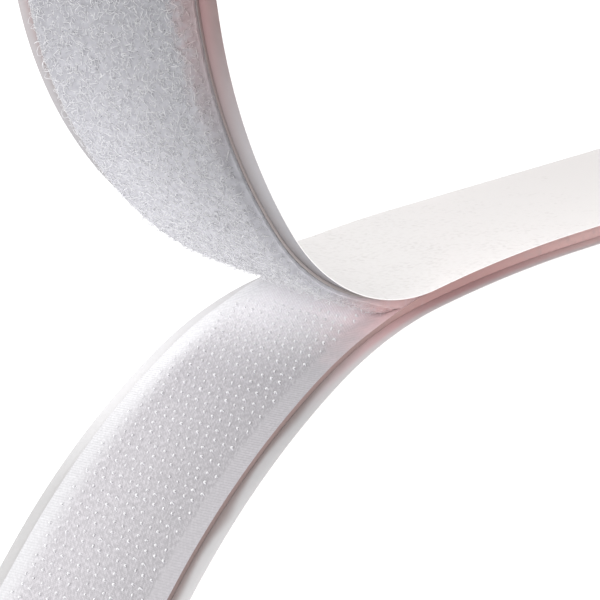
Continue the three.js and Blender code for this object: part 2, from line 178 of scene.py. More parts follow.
class Run:
    """Path of one tape's face: a station a row, with the x, z and fall of its near and far edges."""

    SMALL_STEP = 0.1

    def __init__(self, near: np.ndarray, far: np.ndarray, half_width: float) -> None:
        """Measure the edges.

        Args:
            near: Stations of the near edge.
            far: Stations of the far edge.
            half_width: Distance of both edges from the middle.
        """
        self.near = near
        self.far = far
        self.half = half_width
        self.near_length = self._lengths(near)
        self.far_length = self._lengths(far)
        self.length = (self.near_length + self.far_length) / 2

    @staticmethod
    def _lengths(edge: np.ndarray) -> np.ndarray:
        """Distances along an edge."""
        steps = np.hypot(np.diff(edge[:, 0]), np.diff(edge[:, 1]))
        return np.concatenate([[0.0], np.cumsum(steps)])

    @property
    def total(self) -> float:
        """Length of the whole run."""
        return float(self.length[-1])

    def at(self, s: np.ndarray, y: np.ndarray, height: np.ndarray) -> np.ndarray:
        """Places on the tape.

        Args:
            s: Distances along the run.
            y: Distances from the middle, towards the far edge.
            height: Heights above the tape's face, on the loop side.

        Returns:
            Points in millimetres, in the last axis.
        """
        s, y, height = np.broadcast_arrays(s, y, height)
        share = (y + self.half) / (2 * self.half)
        ends = []
        for edge in (self.near, self.far):
            fall = np.radians(np.interp(s, self.length, edge[:, 2]))
            x = np.interp(s, self.length, edge[:, 0]) - height * np.sin(fall)
            z = np.interp(s, self.length, edge[:, 1]) + height * np.cos(fall)
            ends.append((x, z))
        (near_x, near_z), (far_x, far_z) = ends
        x = near_x + (far_x - near_x) * share
        z = near_z + (far_z - near_z) * share
        return np.stack([x, y, z], axis=-1)

    def cloth_length(self, s: np.ndarray, y: np.ndarray) -> np.ndarray:
        """Distances along the cloth itself, which differ from edge to edge.

        Args:
            s: Distances along the run.
            y: Distances from the middle.

        Returns:
            Distances along the threads.
        """
        share = (y + self.half) / (2 * self.half)
        near = np.interp(s, self.length, self.near_length)
        far = np.interp(s, self.length, self.far_length)
        return near + (far - near) * share

    def axes(self, s: np.ndarray, y: np.ndarray) -> tuple[np.ndarray, np.ndarray, np.ndarray]:
        """Directions on the tape.

        Args:
            s: Distances along the run.
            y: Distances from the middle.

        Returns:
            Unit vectors along the tape, across it and out of its loop side.
        """
        small = self.SMALL_STEP
        along = self.at(s + small, y, 0.0) - self.at(s - small, y, 0.0)
        across = self.at(s, y + small, 0.0) - self.at(s, y - small, 0.0)
        out = np.cross(across, along)
        return tuple(way / np.linalg.norm(way, axis=-1, keepdims=True) for way in (along, across, out))


class TapeRuns:
    """Paths of the hook tape and the loop tape, from the core to the tips of the legs."""

    STEP = 0.7
    WIND_STEP = 4.0

    def __init__(self, sizes: TapeSizes) -> None:
        """Lay out the winding, the tail and both legs.

        Args:
            sizes: Sizes of the tape.
        """
        self.sizes = sizes
        self.roll_height = 0.0
        wound = self._winding()
        tail = self._arc(wound[-1], sizes.tail_straight, 0.0)
        bow_length, bow_radius = sizes.tail_bow
        near_bow = self._arc(tail[-1], bow_length, 1 / bow_radius)
        far_bow = self._arc(tail[-1], bow_length - sizes.peel_slant, 1 / bow_radius, len(near_bow))
        straight = np.concatenate([wound, tail])
        at_peel = len(straight) + len(near_bow) - 1
        hook = np.concatenate([straight, near_bow, self._hook_leg(near_bow[-1])])
        self.hook = Run(hook, hook, sizes.half_liner)
        self.hook_peel = float(self.hook.length[at_peel])
        near, far = self._loop_leg(self._raised(near_bow[-1:])[0], self._raised(far_bow[-1:])[0])
        mated = self._raised(straight)
        self.loop = Run(
            np.concatenate([mated, self._raised(near_bow), near]),
            np.concatenate([mated, self._raised(far_bow), far]),
            sizes.half_liner,
        )
        self.loop_peel = float(self.loop.length[at_peel])
        self.loop_near_peel = float(self.loop.near_length[at_peel])

    def _raised(self, stations: np.ndarray) -> np.ndarray:
        """Move stations from the hook tape's face to the loop tape's.

        Args:
            stations: Stations of the hook tape.

        Returns:
            The moved stations.
        """
        fall = np.radians(stations[:, 2])
        lift = self.sizes.mated_space
        moved = stations.copy()
        moved[:, 0] -= lift * np.sin(fall)
        moved[:, 1] += lift * np.cos(fall)
        return moved

    def _arc(self, start: np.ndarray, length: float, bend: float, steps: int = 0) -> np.ndarray:
        """Continue a path by an arc.

        Args:
            start: Station where the arc starts, which isn't repeated.
            length: Length of the arc.
            bend: One over the radius; above zero, the tape turns downhill.
            steps: Number of stations, or zero for the usual spacing.

        Returns:
            The arc's stations.
        """
        count = steps or max(2, math.ceil(length / self.STEP))
        turn = math.degrees(bend * length) / count
        falls = start[2] + turn * np.arange(1, count + 1)
        heading = np.radians(falls - turn / 2)
        x = start[0] - np.cumsum(np.cos(heading)) * length / count
        z = start[1] - np.cumsum(np.sin(heading)) * length / count
        return np.stack([x, z, falls], axis=-1)

    def _winding(self) -> np.ndarray:
        """Lay out the winding, from the core to where the tail leaves it, on a level flat below.

        Returns:
            The winding's stations.
        """
        sizes = self.sizes
        step = 360 / sizes.steps_per_turn
        half = math.radians(step / 2)
        inmost = (sizes.core_bore + sizes.core_wall + sizes.core_clearance) / math.cos(half)
        radius = inmost + sizes.back_depth + sizes.turns * sizes.pitch
        falls, radii = [], []
        for k in range(sizes.turns * sizes.steps_per_turn + 1):
            falls.append(sizes.tail_fall if k == 0 else step / 2 - k * step)
            radii.append(radius)
            if k % sizes.steps_per_turn != sizes.steps_per_turn // 2:
                radius -= sizes.pitch / (sizes.steps_per_turn - 1)
        lowest = radii[sizes.steps_per_turn // 2] + sizes.mated_space + sizes.back_depth
        self.roll_height = lowest * math.cos(half)
        angle = np.linspace(falls[-1], falls[0], int((falls[0] - falls[-1]) / self.WIND_STEP))
        spiral = np.interp(angle, falls[::-1], radii[::-1])
        from_bottom = np.radians((angle % 360) - 180)
        flat = np.abs(from_bottom) < half
        spiral = np.where(flat, spiral * math.cos(half) / np.cos(from_bottom), spiral)
        turned = np.radians(angle)
        height = self.roll_height + spiral * np.cos(turned)
        return np.stack([-spiral * np.sin(turned), height, angle], axis=-1)

    def _hook_leg(self, peel: np.ndarray) -> np.ndarray:
        """Lay out the hook leg, which stands on a flat foot and lifts its tip.

        Args:
            peel: Station at the peel line.

        Returns:
            The leg's stations.
        """
        sizes = self.sizes
        foot_bend = -1 / sizes.foot_radius
        bend = self._arc(peel, sizes.hook_bend[0], 1 / sizes.hook_bend[1])
        droop = self._arc(bend[-1], sizes.hook_droop[0], 1 / sizes.hook_droop[1])
        turn = math.radians(droop[-1][2])
        curl = sizes.foot_radius * turn
        trial = self._arc(droop[-1], curl, foot_bend)
        excess = trial[-1][1] - sizes.back_depth
        straight = self._arc(droop[-1], excess / math.sin(turn), 0.0)
        foot = self._arc(straight[-1], curl, foot_bend)
        flat = self._arc(foot[-1], sizes.foot_flat, 0.0)
        lift = self._arc(flat[-1], sizes.foot_radius * math.radians(sizes.tip_rise), foot_bend)
        tip = self._arc(lift[-1], sizes.tip_length, 0.0)
        return np.concatenate([bend, droop, straight, foot, flat, lift, tip])

    def _loop_leg(self, near_peel: np.ndarray, far_peel: np.ndarray) -> tuple[np.ndarray, np.ndarray]:
        """Lay out the loop leg, which leaves a slanted peel line and rolls over.

        Args:
            near_peel: Station of the near edge at the peel line.
            far_peel: Station of the far edge at the peel line.

        Returns:
            Stations of the near edge and of the far edge.
        """
        sizes = self.sizes
        (bend, bend_radius), (rise, rise_radius) = sizes.loop_bend, sizes.loop_rise
        tip, tip_bend = sizes.loop_tip[0], 1 / sizes.loop_tip[1]
        far_bend_share = -1 / sizes.loop_far_radius
        scale = (bend + rise + sizes.peel_slant) / (bend + rise)
        near_bend = self._arc(near_peel, bend, -1 / bend_radius)
        near_rise = self._arc(near_bend[-1], rise, -1 / rise_radius)
        near_tip = self._arc(near_rise[-1], tip, tip_bend)
        far_bend = self._arc(far_peel, bend * scale, far_bend_share, len(near_bend))
        far_rise = self._arc(far_bend[-1], rise * scale, far_bend_share, len(near_rise))
        far_tip = self._arc(far_rise[-1], tip, tip_bend)
        near = np.concatenate([near_bend, near_rise, near_tip])
        return near, np.concatenate([far_bend, far_rise, far_tip])


class Graph:
    """A node tree that is being wired, with the numbers of the Mix node's colour sockets."""

    SHARE = 0
    FIRST = 6
    SECOND = 7
    MIXED = 2

    def __init__(self, tree: bpy.types.NodeTree) -> None:
        """Keep the tree."""
        self.tree = tree

    def node(self, kind: str, feeds: Feeds | None = None, **settings: object) -> bpy.types.Node:
        """Add a node.

        Args:
            kind: The node's type.
            feeds: Sockets or constants by the name or number of the input.
            settings: Properties of the node.

        Returns:
            The node.
        """
        made = self.tree.nodes.new(kind)
        for name, value in settings.items():
            setattr(made, name, value)
        for name, value in (feeds or {}).items():
            self.feed(made.inputs[name], value)
        return made

    def feed(self, socket: Socket, value: object) -> None:
        """Wire a socket to another one, or set it to a constant.

        Args:
            socket: The input.
            value: Another socket, a colour or another constant.
        """
        if isinstance(value, Socket):
            self.tree.links.new(value, socket)
        elif socket.type == "RGBA" and len(value) == 3:
            socket.default_value = (*value, 1.0)
        else:
            socket.default_value = value

    def math(self, operation: str, *values: object) -> Socket:
        """Work out one operation on sockets or constants."""
        return self.node("ShaderNodeMath", dict(enumerate(values)), operation=operation).outputs[0]

    def times(self, first: object, second: object) -> Socket:
        """Multiply two values."""
        return self.math("MULTIPLY", first, second)

    def most(self, first: object, second: object) -> Socket:
        """Take the greater of two values."""
        return self.math("MAXIMUM", first, second)

    def scaled(self, value: object, factor: object, offset: object) -> Socket:
        """Multiply a value by a factor and add an offset."""
        return self.math("MULTIPLY_ADD", value, factor, offset)

    def fade(self, share: object, end: float) -> Socket:
        """Go from a factor of one, where the share is zero, to an end value."""
        return self.scaled(share, end - 1.0, 1.0)

    def noise(self, vector: Socket, scale: float, detail: float = 2.0) -> Socket:
        """Read a noise at some coordinates."""
        feeds = {"Vector": vector, "Scale": scale, "Detail": detail}
        return self.node("ShaderNodeTexNoise", feeds).outputs[0]

    def ramp(self, value: Socket, span: Span, start: float = 0.0) -> Socket:
        """Rise smoothly from zero to one over a span, which is counted from a start."""
        feeds = {"Value": value, "From Min": start + span[0], "From Max": start + span[1]}
        return self.node("ShaderNodeMapRange", feeds, interpolation_type="SMOOTHSTEP").outputs["Result"]

    def mix(self, share: object, first: object, second: object) -> Socket:
        """Mix a share of a second colour into a first one."""
        feeds = {self.SHARE: share, self.FIRST: first, self.SECOND: second}
        return self.node("ShaderNodeMix", feeds, data_type="RGBA").outputs[self.MIXED]

    def shade(self, colour: Socket, factor: Socket) -> Socket:
        """Multiply a colour by a factor."""
        feeds = {self.SHARE: 1.0, self.FIRST: colour, self.SECOND: factor}
        return self.node("ShaderNodeMix", feeds, data_type="RGBA", blend_type="MULTIPLY").outputs[self.MIXED]

    def bump(self, height: Socket, distance: float, strength: float) -> Socket:
        """Turn a height, with its size in metres, into a normal."""
        feeds = {"Distance": distance, "Strength": strength, "Height": height}
        return self.node("ShaderNodeBump", feeds).outputs["Normal"]


class Finish:
    """A finish that makes one material."""

    def material(self, name: str) -> bpy.types.Material:
        """Make the material.

        Args:
            name: The material's name.

        Returns:
            The material.
        """
        made = bpy.data.materials.new(name)
        made.use_nodes = True
        made.node_tree.nodes.clear()
        graph = Graph(made.node_tree)
        graph.node("ShaderNodeOutputMaterial", {"Surface": self.surface(graph)})
        return made

    def surface(self, graph: Graph) -> Socket:
        """Wire the finish and return its shader."""
        raise NotImplementedError

    @staticmethod
    def place(graph: Graph) -> Socket:
        """Coordinates of the piece in metres."""
        return graph.node("ShaderNodeTexCoord").outputs["Object"]

    @staticmethod
    def cloth_uv(graph: Graph) -> tuple[Socket, Socket, Socket]:
        """Read the tape's own coordinates in millimetres.

        Args:
            graph: The tree.

        Returns:
            The vector, the distance across and the distance along.
        """
        vector = graph.node("ShaderNodeAttribute", attribute_name="Cloth").outputs["Vector"]
        parts = graph.node("ShaderNodeSeparateXYZ", {0: vector})
        return vector, parts.outputs["X"], parts.outputs["Y"]

    @staticmethod
    def principled(graph: Graph, **inputs: object) -> Socket:
        """Add a Principled shader, with its inputs by name and _ for a space."""
        feeds = {name.replace("_", " "): value for name, value in inputs.items()}
        return graph.node("ShaderNodeBsdfPrincipled", feeds).outputs[0]

    @staticmethod
    def glowing(graph: Graph, front: Socket, through: Colour, share: float) -> Socket:
        """Let a share of light, of some colour, through a thin surface."""
        back = graph.node("ShaderNodeBsdfTranslucent", {"Color": through}).outputs[0]
        return graph.node("ShaderNodeMixShader", {"Fac": share, 1: front, 2: back}).outputs[0]


@dataclass(frozen=True)
class PaperFinish(Finish):
    """Back of the release paper, with a fine mottled texture, and painted shade that darkens it towards the
    roll.
    """

    peel: float
    colour: Colour = (0.985, 0.96, 0.95)
    grain_and_shade: Colour = (0.76, 0.73, 0.715)
    fine_levels: Span = (0.4, 0.8)
    broad_levels: Span = (0.1, 0.9)
    # Painted shade towards the roll: where it fades in before the peel line, and how strong it is.
    roll_shade_stretch: Span = (-5.0, -70.0)
    roll_shade_share: float = 0.4

    def surface(self, graph: Graph) -> Socket:
        """Wire the paper.

        Args:
            graph: The tree.

        Returns:
            The shader.
        """
        vector, _, along = self.cloth_uv(graph)
        fine = graph.noise(vector, scale=1.6, detail=5.0)
        broad = graph.noise(vector, scale=0.25)
        share = graph.times(graph.ramp(fine, self.fine_levels), graph.ramp(broad, self.broad_levels))
        # Painted shade: towards the roll, the paper is mixed into the darker grain_and_shade colour.
        base = graph.times(graph.ramp(along, self.roll_shade_stretch, self.peel), self.roll_shade_share)
        front = self.principled(
            graph,
            Base_Color=graph.mix(graph.most(share, base), self.colour, self.grain_and_shade),
            Roughness=0.55,
            Specular_IOR_Level=0.2,
            Normal=graph.bump(fine, distance=0.00002, strength=0.25),
        )
        return self.glowing(graph, front, through=self.colour, share=0.15)


@dataclass(frozen=True)
class ReleaseFinish(Finish):
    """Coated side of the release paper: a painted pink reflection where the tapes are pressed, grey strips
    beside the tape with painted shade and light, and a stain with painted shadow along the tape.
    """

    peel: float
    # Painted shade on the grey strips beside the tape: the near strip is dark, and the far strip darkens
    # along the leg.
    near: Shades = ((0.43, 0.43, 0.435), (0.51, 0.51, 0.515))
    far: Shades = ((0.90, 0.90, 0.91), (0.57, 0.572, 0.573))
    # Stain and painted shadow of the tape's edge, in a line beside the tape.
    stain: Shades = ((0.20, 0.14, 0.13), (0.20, 0.14, 0.13))
    # Painted pink reflection where the tapes are pressed together, deeper towards the peel line.
    pressed: Colour = (0.87, 0.69, 0.68)
    deep_pink_reflection: Colour = (0.68, 0.455, 0.46)
    # Painted shade: grey towards the outer edge of the pressed stretch.
    shaded_rim: Colour = (0.68, 0.67, 0.68)
    middle: Colour = (0.78, 0.775, 0.78)
    near_stretch: Span = (20.0, 65.0)
    far_stretch: Span = (22.0, 44.0)
    deep_pink_stretch: Span = (-32.0, -4.0)
    opening: Span = (-7.0, 13.0)
    opening_slope: float = 0.9
    far_side: Span = (-5.0, 5.0)
    tape_edge: float = 12.5
    glue_band: Span = (-0.3, -2.0)
    rim_band: Span = (1.0, 2.3)
    rim_share: float = 0.9
    # Painted light on the near strip, lighter towards its outer edge.
    outer_band: Span = (0.6, 2.5)
    outer_painted_light: float = 1.15
    cloud_share: float = 0.1
    stain_shadow_band: Span = (1.35, 0.2)
    stain_shadow_wave: float = 1.6
    stain_shadow_shares: Span = (0.05, 0.74)
    far_stain_shadow: float = 0.1

    def surface(self, graph: Graph) -> Socket:
        """Wire the coated side.

        Args:
            graph: The tree.

        Returns:
            The shader.
        """
        vector, across, along = self.cloth_uv(graph)
        aside = graph.math("ABSOLUTE", across)
        far_side = graph.ramp(across, self.far_side)
        slanted = graph.scaled(across, self.opening_slope, along)
        open_leg = graph.ramp(slanted, self.opening, self.peel)
        onward = graph.ramp(along, self.near_stretch, self.peel)
        # Painted shade on the grey strips, with painted light towards the near strip's outer edge.
        outer = graph.ramp(aside, self.outer_band, self.tape_edge)
        near = graph.shade(graph.mix(onward, *self.near), graph.fade(outer, self.outer_painted_light))
        far = graph.mix(graph.ramp(along, self.far_stretch, self.peel), *self.far)
        under = graph.ramp(aside, self.glue_band, self.tape_edge)
        grey = graph.mix(under, graph.mix(far_side, near, far), self.middle)
        cloud = graph.times(graph.noise(vector, scale=0.6, detail=3.0), self.cloud_share)
        # Painted shade towards the outer edge of the pressed stretch.
        shaded_rim = graph.times(graph.ramp(aside, self.rim_band, self.tape_edge), self.rim_share)
        # Painted pink reflection on the pressed stretch; on the open leg, a faint cloud of it over the grey.
        tone = graph.mix(graph.ramp(along, self.deep_pink_stretch, self.peel), self.pressed, self.deep_pink_reflection)
        closed = graph.mix(shaded_rim, tone, self.shaded_rim)
        colour = graph.mix(open_leg, closed, graph.mix(cloud, grey, self.pressed))
        # A line of stain and painted shadow beside the tape, stronger on the open leg.
        least, most = self.stain_shadow_shares
        strength = graph.scaled(open_leg, most - least, least)
        strength = graph.times(strength, graph.fade(far_side, self.far_stain_shadow))
        share = graph.times(self._line(graph, aside, along), strength)
        colour = graph.mix(share, colour, graph.mix(onward, *self.stain))
        front = self.principled(graph, Base_Color=colour, Roughness=0.45, Specular_IOR_Level=0.3)
        return self.glowing(graph, front, through=self.near[0], share=0.2)

    def _line(self, graph: Graph, aside: Socket, along: Socket) -> Socket:
        """Draw a line of stain and painted shadow along the tape's edges, wide and narrow by turns.

        Args:
            graph: The tree.
            aside: Distance from the middle, to either side.
            along: Distance from the core.

        Returns:
            Share of the line.
        """
        place = graph.node("ShaderNodeCombineXYZ", {"Y": along}).outputs[0]
        wave = graph.noise(place, scale=0.13, detail=0.0)
        spread = graph.scaled(wave, self.stain_shadow_wave, 1.0 - self.stain_shadow_wave / 2)
        gap = graph.times(graph.math("SUBTRACT", aside, self.tape_edge), spread)
        return graph.ramp(gap, self.stain_shadow_band)


@dataclass(frozen=True)
class WeaveFinish(Finish):
    """Fine white weave: a plain field and ribbed selvedges along both edges, with painted shade and light and
    a painted pink reflection.
    """

    peel: float
    field_colour: Colour = (0.52, 0.502, 0.525)
    # Painted light on the field near the peel line and in the crotch under the loop leg.
    peel_painted_light: Colour = (0.975, 0.955, 0.975)
    # Painted light on the far selvedge, which fades along the run.
    far_painted_light: Shades = ((0.89, 0.885, 0.90), (0.59, 0.585, 0.60))
    # Painted shade: the share of the colour that is left at the near edge.
    near_shade_share: float = 0.74
    near_band: Span = (-12.0, 8.0)
    near_selvedge: Span = (-9.5, -10.1)
    far_selvedge: Span = (7.3, 11.7)
    far_stretch: Span = (5.0, 42.0)
    light_stretch: Span = (21.0, 4.0)
    light_band: Span = (-11.5, -6.0)
    crotch_stretch: Span = (16.0, 6.0)
    crotch_band: Span = (-12.0, -8.5)
    end_stretch: Span = (58.0, 80.0)
    end_light: float = 0.7
    # Painted pink reflection in the tail and near the peel line.
    blush: Colour = (0.86, 0.62, 0.63)
    blush_stretch: Span = (13.0, -6.0)
    blush_slope: float = 0.9
    blush_cloud: float = 8.0
    blush_share: float = 0.85
    rib_pitch: float = 0.33
    thread_pitch: float = 0.46
    thread_wobble: float = 2.0
    twill_turn: float = 30.0
    twill_reach: Point = (1.0, 0.45, 1.0)
    speckle: float = 0.5
    relief: float = 0.1
    grit_levels: Span = (1.0, 0.6)
    contrast: float = 0.25
    edge_calm: float = 0.15
    brightness: float = 1.075

    def surface(self, graph: Graph) -> Socket:
        """Wire the weave.

        Args:
            graph: The tree.

        Returns:
            The shader.
        """
        vector, across, along = self.cloth_uv(graph)
        far = graph.ramp(across, self.far_selvedge)
        edge = graph.most(graph.ramp(across, self.near_selvedge), far)
        level = self._threads(graph, edge)
        end = graph.ramp(along, self.end_stretch, self.peel)
        # Painted light on the field near the peel line, but not at the near edge; past the end stretch the
        # field goes over to a paler colour, where the painted shade ends.
        light = graph.times(
            graph.ramp(along, self.light_stretch, self.peel), graph.ramp(across, self.light_band)
        )
        light = graph.most(light, graph.times(end, self.end_light))
        inner = graph.mix(light, self.field_colour, self.peel_painted_light)
        # Painted light on the far selvedge, fading along the run.
        outer = graph.mix(graph.ramp(along, self.far_stretch, self.peel), *self.far_painted_light)
        # Painted light in the crotch: the painted shade and the thread contrast are lifted there.
        crotch = graph.times(
            graph.ramp(along, self.crotch_stretch, self.peel), graph.ramp(across, self.crotch_band)
        )
        # Painted shade, darker towards the near edge; lifted in the crotch and past the end stretch.
        painted_shade = graph.scaled(graph.ramp(across, self.near_band), 1.0 - self.near_shade_share, self.near_shade_share)
        painted_shade = graph.most(graph.most(painted_shade, crotch), end)
        speckle = graph.noise(vector, scale=1.9, detail=3.0)
        grit = graph.scaled(speckle, self.speckle, self._twill(graph, across, along))
        grit = graph.ramp(graph.scaled(level, self.relief, grit), self.grit_levels)
        depth = graph.scaled(graph.most(edge, crotch), self.edge_calm, -self.contrast)
        threads = graph.scaled(grit, depth, self.brightness)
        colour = graph.shade(graph.mix(far, inner, outer), graph.times(painted_shade, threads))
        return self.principled(
            graph,
            Base_Color=graph.mix(self._blush(graph, vector, across, along), colour, self.blush),
            Roughness=0.75,
            Specular_IOR_Level=0.3,
            Sheen_Weight=0.1,
            Normal=graph.bump(level, distance=0.00003, strength=0.4),
        )

    def _threads(self, graph: Graph, edge: Socket) -> Socket:
        """Height of the threads: a plain weave, with ribs along the edges.

        Args:
            graph: The tree.
            edge: Share of the ribs.

        Returns:
            The height, from minus one to one.
        """
        vector, across, along = self.cloth_uv(graph)
        wobble = graph.times(graph.noise(vector, scale=1.1), self.thread_wobble)
        rib = graph.math("SINE", graph.scaled(along, FULL_TURN / self.rib_pitch, wobble))
        warp = graph.math("SINE", graph.scaled(across, FULL_TURN / self.thread_pitch, wobble))
        weave = graph.times(rib, warp)
        return graph.scaled(edge, graph.math("SUBTRACT", rib, weave), weave)

    def _twill(self, graph: Graph, across: Socket, along: Socket) -> Socket:
        """Slanted streaks of the ground's threads.

        Args:
            graph: The tree.
            across: Distance from the middle.
            along: Distance from the core.

        Returns:
            The streaks' value.
        """
        cosine, sine = math.cos(math.radians(self.twill_turn)), math.sin(math.radians(self.twill_turn))
        wide = graph.scaled(along, sine, graph.times(across, cosine))
        long = graph.scaled(along, -cosine, graph.times(across, sine))
        place = graph.node("ShaderNodeCombineXYZ", {"X": wide, "Y": long}).outputs[0]
        drawn = graph.node("ShaderNodeVectorMath", {0: place, 1: self.twill_reach}, operation="MULTIPLY")
        return graph.noise(drawn.outputs[0], scale=3.6, detail=1.0)

    def _blush(self, graph: Graph, vector: Socket, across: Socket, along: Socket) -> Socket:
        """Painted pink reflection, strong in the tail and fading out on the leg.

        Args:
            graph: The tree.
            vector: The tape's coordinates.
            across: Distance from the middle.
            along: Distance from the core.

        Returns:
            Share of the tint.
        """
        cloud = graph.noise(vector, scale=0.45, detail=3.0)
        place = graph.scaled(cloud, self.blush_cloud, along)
        corner = graph.scaled(across, self.blush_slope, place)
        return graph.times(graph.ramp(corner, self.blush_stretch, self.peel), self.blush_share)


@dataclass(frozen=True)
class EdgeFinish(Finish):
    """Cut edge of a tape: a painted pink reflection where the tapes are pressed together, and painted shade
    on the open leg.
    """

    peel: float
    # Painted pink reflection where the tapes are pressed together, deeper towards the peel line, with a
    # mottled stain.
    pressed: Colour = (0.71, 0.50, 0.48)
    deep_pink_reflection: Colour = (0.58, 0.37, 0.355)
    stain: Colour = (0.60, 0.44, 0.43)
    # Painted shade on the open leg's edge; near the peel corner it is lighter and holds some of the painted
    # pink reflection.
    open_shade: Colour = (0.26, 0.20, 0.19)
    corner_shade: Colour = (0.34, 0.25, 0.24)
    deep_pink_stretch: Span = (-32.0, -4.0)
    opening: Span = (-2.0, 12.0)
    leg_stretch: Span = (15.0, 60.0)
    fine_levels: Span = (0.45, 0.75)
    broad_levels: Span = (0.35, 0.7)

    def surface(self, graph: Graph) -> Socket:
        """Wire the edge.

        Args:
            graph: The tree.

        Returns:
            The shader.
        """
        _, _, along = self.cloth_uv(graph)
        place = self.place(graph)
        fine = graph.ramp(graph.noise(place, scale=900.0, detail=3.0), self.fine_levels)
        broad = graph.ramp(graph.noise(place, scale=60.0), self.broad_levels)
        # Painted pink reflection, mottled by a stain.
        tone = graph.mix(graph.ramp(along, self.deep_pink_stretch, self.peel), self.pressed, self.deep_pink_reflection)
        pink = graph.mix(graph.times(fine, broad), tone, self.stain)
        # Painted shade on the open leg's edge.
        onward = graph.ramp(along, self.leg_stretch, self.peel)
        leg = graph.mix(onward, self.corner_shade, self.open_shade)
        return self.principled(
            graph,
            Base_Color=graph.mix(graph.ramp(along, self.opening, self.peel), pink, leg),
            Roughness=0.7,
            Specular_IOR_Level=0.25,
            Normal=graph.bump(graph.noise(place, scale=2500.0), distance=0.00003, strength=0.4),
        )


@dataclass(frozen=True)
class AdhesiveFinish(Finish):
    """Tacky coat, coloured with a painted pink reflection that shows at its edge."""

    # Painted pink reflection, mottled by a ripple.
    light: Colour = (0.70, 0.48, 0.46)
    dark: Colour = (0.56, 0.384, 0.368)

    def surface(self, graph: Graph) -> Socket:
        """Wire the coat.

        Args:
            graph: The tree.

        Returns:
            The shader.
        """
        ripple = graph.noise(self.place(graph), scale=700.0)
        return self.principled(
            graph,
            Base_Color=graph.mix(ripple, self.light, self.dark),
            Roughness=0.35,
            Normal=graph.bump(ripple, distance=0.00003, strength=0.3),
        )


@dataclass(frozen=True)
class PileFinish(Finish):
    """Brushed fibre loops, with painted shade towards the near edge, along its flank and towards the tip."""

    peel: float
    light: Colour
    dark: Colour
    glow: float
    # Painted shade towards the tip, on the flank and on the near side.
    tip_shade: float
    flank_shade: float
    near_shade: float = 0.67
    softness: float = 0.0
    # Painted pink reflection along the near edge, at the leg's top and at its root.
    blush: Colour = (0.74, 0.51, 0.505)
    blush_band: Span = (-8.2, -11.5)
    clump_levels: Span = (0.3, 0.7)
    clump_reach: float = 1.5
    root_stretch: Span = (16.0, 4.0)
    top_stretch: Span = (34.0, 58.0)
    top_blush: float = 0.7
    top_near: float = 0.65
    top_flank: float = 0.15
    near_band: Span = (9.0, -13.0)
    near_stretch: Span = (2.0, 40.0)
    flank_band: Span = (-9.8, -12.2)
    flank_stretch: Span = (2.0, 14.0)
    tip_stretch: Span = (10.0, 66.0)
    end_stretch: Span = (68.0, 90.0)
    end_share: float = 0.9

    def surface(self, graph: Graph) -> Socket:
        """Wire the fibres.

        Args:
            graph: The tree.

        Returns:
            The shader.
        """
        vector, across, along = self.cloth_uv(graph)
        clump = graph.ramp(graph.noise(vector, scale=1.1, detail=4.0), self.clump_levels)
        top = graph.ramp(along, self.top_stretch, self.peel)
        root = graph.ramp(along, self.root_stretch, self.peel)
        # Painted pink reflection along the near edge, at the top and at the root.
        edge = graph.ramp(graph.scaled(clump, self.clump_reach, across), self.blush_band)
        pink = graph.times(edge, graph.most(graph.times(top, self.top_blush), root))
        colour = graph.mix(pink, graph.mix(clump, self.dark, self.light), self.blush)
        fuzz = graph.noise(vector, scale=3.0, detail=4.0)
        front = self.principled(
            graph,
            Base_Color=graph.shade(colour, self._painted_shade(graph, across, along, top)),
            Roughness=0.8,
            Specular_IOR_Level=0.3,
            Sheen_Weight=0.2,
            Subsurface_Weight=self.softness,
            Subsurface_Radius=(1.0, 1.0, 1.0),
            Subsurface_Scale=0.0008,
            Normal=graph.bump(fuzz, distance=0.0002, strength=0.2),
        )
        return self.glowing(graph, front, through=self.light, share=self.glow)

    def _painted_shade(self, graph: Graph, across: Socket, along: Socket, top: Socket) -> Socket:
        """Painted shade: the share of the colour that is left towards the near edge, its flank and the tip.

        Args:
            graph: The tree.
            across: Distance from the middle.
            along: Distance from the core.
            top: Share of the leg's upper part.

        Returns:
            The share.
        """
        leg = graph.ramp(along, self.near_stretch, self.peel)
        sides = graph.times(graph.ramp(across, self.near_band), leg)
        sides = graph.times(sides, graph.fade(top, self.top_near))
        foot = graph.ramp(along, self.flank_stretch, self.peel)
        flank = graph.times(graph.ramp(across, self.flank_band), foot)
        flank = graph.times(flank, graph.fade(top, self.top_flank))
        tip = graph.fade(graph.ramp(along, self.tip_stretch, self.peel), self.tip_shade)
        share = graph.times(graph.fade(flank, self.flank_shade), tip)
        share = graph.times(graph.fade(sides, self.near_shade), share)
        # Past the end stretch, most of the painted shade is lifted.
        end = graph.times(graph.ramp(along, self.end_stretch, self.peel), self.end_share)
        return graph.most(share, end)


@dataclass(frozen=True)
class HookFinish(Finish):
    """Clear monofilament, with a painted highlight that makes it lighter towards the bend."""

    # Painted highlight: the colour goes from the root's to the bend's with the height.
    root: Colour = (0.84, 0.835, 0.86)
    bend: Colour = (0.97, 0.97, 0.975)
    highlight_levels: Span = (0.35, 0.75)

    def surface(self, graph: Graph) -> Socket:
        """Wire the filament.

        Args:
            graph: The tree.

        Returns:
            The shader.
        """
        lift = graph.node("ShaderNodeAttribute", attribute_name="lift").outputs["Fac"]
        # Painted highlight, lighter towards the bend.
        colour = graph.mix(graph.ramp(lift, self.highlight_levels), self.root, self.bend)
        front = self.principled(graph, Base_Color=colour, Roughness=0.2, Specular_IOR_Level=0.6)
        return self.glowing(graph, front, through=self.bend, share=0.62)


